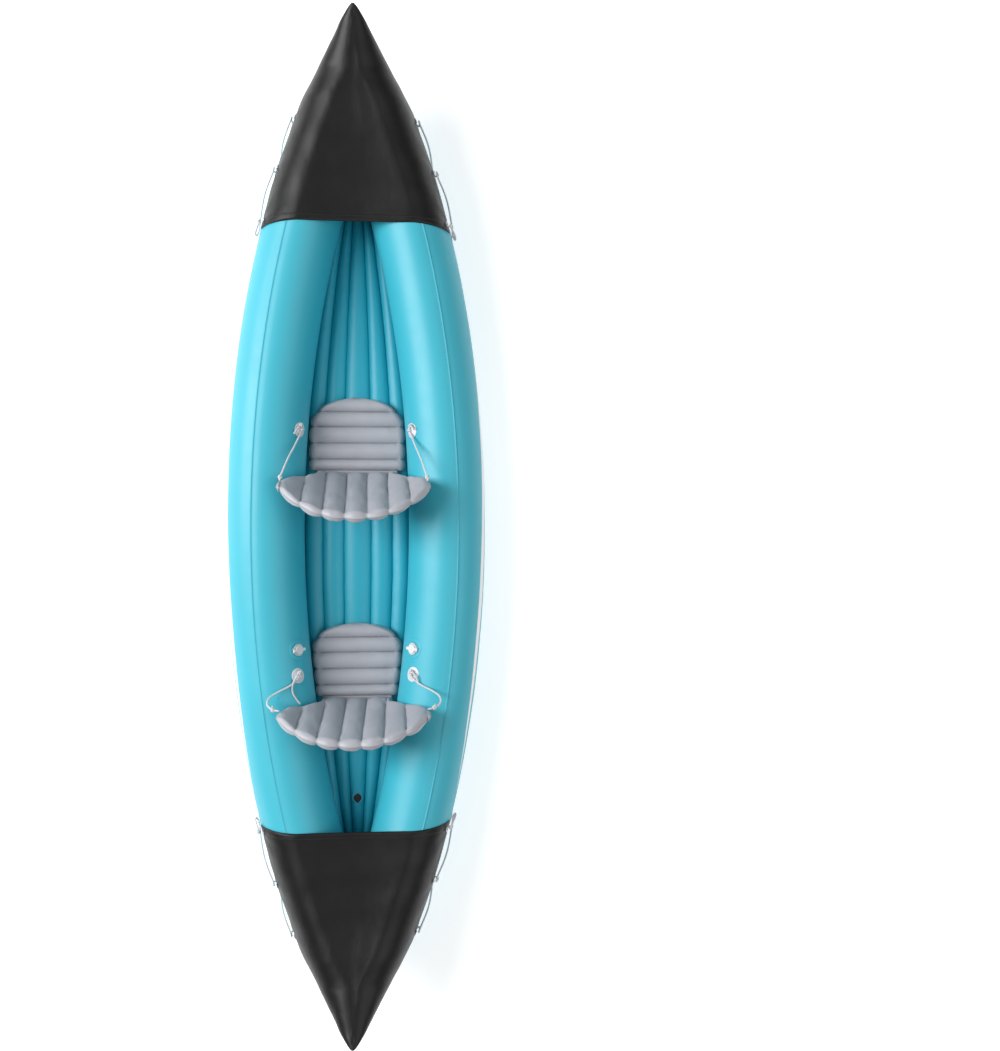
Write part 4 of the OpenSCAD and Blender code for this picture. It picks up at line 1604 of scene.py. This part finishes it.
class KAYAK_OT_stage(bpy.types.Operator):
    """Pale floor, soft studio lights and the camera above the boat"""

    bl_idname = "kayak.stage"
    bl_label = "Stage"

    def execute(self, context):
        scene = context.scene
        self.camera(scene)
        self.ground()
        self.lights(scene)
        return {"FINISHED"}

    def camera(self, scene):
        camera = bpy.data.cameras.new("camera")
        camera.sensor_fit = "AUTO"
        camera.sensor_width = 36.0
        camera.lens = 38.5
        camera.clip_end = 50.0
        eye = Vector((0.15, 0.004, 4.07))
        turned, drop = math.radians(5.06), 3.9
        aim = eye + Vector((drop * math.tan(turned), 0.0, -drop))
        back = (eye - aim).normalized()
        up = Vector((0, 1, 0))
        right = up.cross(back).normalized()
        holder = bpy.data.objects.new("camera", camera)
        holder.matrix_world = matrix_of(right, back.cross(right), back, eye)
        scene.collection.objects.link(holder)
        scene.camera = holder

    def ground(self):
        half = 14.0
        ground = new_piece(
            "ground",
            [(-half, -half, 0), (half, -half, 0), (half, half, 0), (-half, half, 0)],
            [(0, 1, 2, 3)],
        )
        ground.location.z = -0.0008
        f = Finish("ground")
        f.bump(f.noise(f.coords("Object"), 180.0, 2.0), 0.0002, 0.15)
        ground.data.materials.append(
            f.shade((0.92, 0.92, 0.92), 0.8, Emission_Color=(1.0, 1.0, 1.0, 1.0), Emission_Strength=0.45)
        )
        ground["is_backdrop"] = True

    def lights(self, scene):
        world = bpy.data.worlds.new("studio")
        world.use_nodes = True
        background = world.node_tree.nodes["Background"]
        background.inputs[0].default_value = (1.0, 1.0, 1.0, 1.0)
        background.inputs[1].default_value = 0.27
        scene.world = world
        scene.view_settings.view_transform = "Standard"
        for name, spot, size, power in (
            ("key", (-4.2, 0.9, 3.9), (2.0, 5.0), 400.0),
            ("fill", (3.4, -0.6, 4.6), (3.0, 5.0), 80.0),
            ("bow", (0.3, 5.0, 3.4), (3.5, 2.0), 24.0),
            ("stern", (0.3, -5.0, 3.4), (3.5, 2.0), 24.0),
        ):
            lamp = bpy.data.lights.new(name, "AREA")
            lamp.shape = "RECTANGLE"
            lamp.size, lamp.size_y = size
            lamp.energy = power
            holder = bpy.data.objects.new(name, lamp)
            holder.location = spot
            aim = Vector((0, 0, 0.2)) - Vector(spot)
            holder.rotation_euler = aim.to_track_quat("-Z", "Y").to_euler()
            scene.collection.objects.link(holder)


# ---------------------------------------------------------------- panel


class KAYAK_PT_panel(bpy.types.Panel):
    """Sizes, colours and pieces of the kayak"""

    bl_idname = "KAYAK_PT_panel"
    bl_label = "Inflatable Kayak"
    bl_space_type = "VIEW_3D"
    bl_region_type = "UI"
    bl_category = "Kayak"

    def draw(self, context):
        layout = self.layout
        for title, group in (
            ("Hull", context.scene.kayak_hull),
            ("Covers", context.scene.kayak_cover),
            ("Seats", context.scene.kayak_seat),
            ("Colours", context.scene.kayak_colours),
        ):
            box = layout.box()
            box.label(text=title)
            for key in group.__annotations__:
                box.prop(group, key)
        column = layout.column()
        for operator in OPERATORS:
            column.operator(operator.bl_idname)


OPERATORS = (
    KAYAK_OT_stage,
    KAYAK_OT_seat_ropes,
    KAYAK_OT_lacing_cords,
    KAYAK_OT_side_chambers,
    KAYAK_OT_valve_welds,
    KAYAK_OT_floor_chamber,
    KAYAK_OT_bottom_skin,
    KAYAK_OT_seam_tapes,
    KAYAK_OT_end_covers,
    KAYAK_OT_cover_eyelets,
    KAYAK_OT_patches,
    KAYAK_OT_seat_pans,
    KAYAK_OT_backrests,
    KAYAK_OT_valves,
)
GROUPS = {
    "kayak_hull": KayakHullSizes,
    "kayak_cover": KayakCoverSizes,
    "kayak_seat": KayakSeatSizes,
    "kayak_colours": KayakColours,
}


def register():
    for group in GROUPS.values():
        bpy.utils.register_class(group)
    for key, group in GROUPS.items():
        setattr(bpy.types.Scene, key, bpy.props.PointerProperty(type=group))
    for operator in OPERATORS:
        bpy.utils.register_class(operator)
    bpy.utils.register_class(KAYAK_PT_panel)


def unregister():
    bpy.utils.unregister_class(KAYAK_PT_panel)
    for operator in reversed(OPERATORS):
        bpy.utils.unregister_class(operator)
    for key in GROUPS:
        delattr(bpy.types.Scene, key)
    for group in reversed(list(GROUPS.values())):
        bpy.utils.unregister_class(group)


def main():
    register()
    for operator in OPERATORS:
        family, piece = operator.bl_idname.split(".")
        getattr(getattr(bpy.ops, family), piece)()


if __name__ == "__main__":
    main()
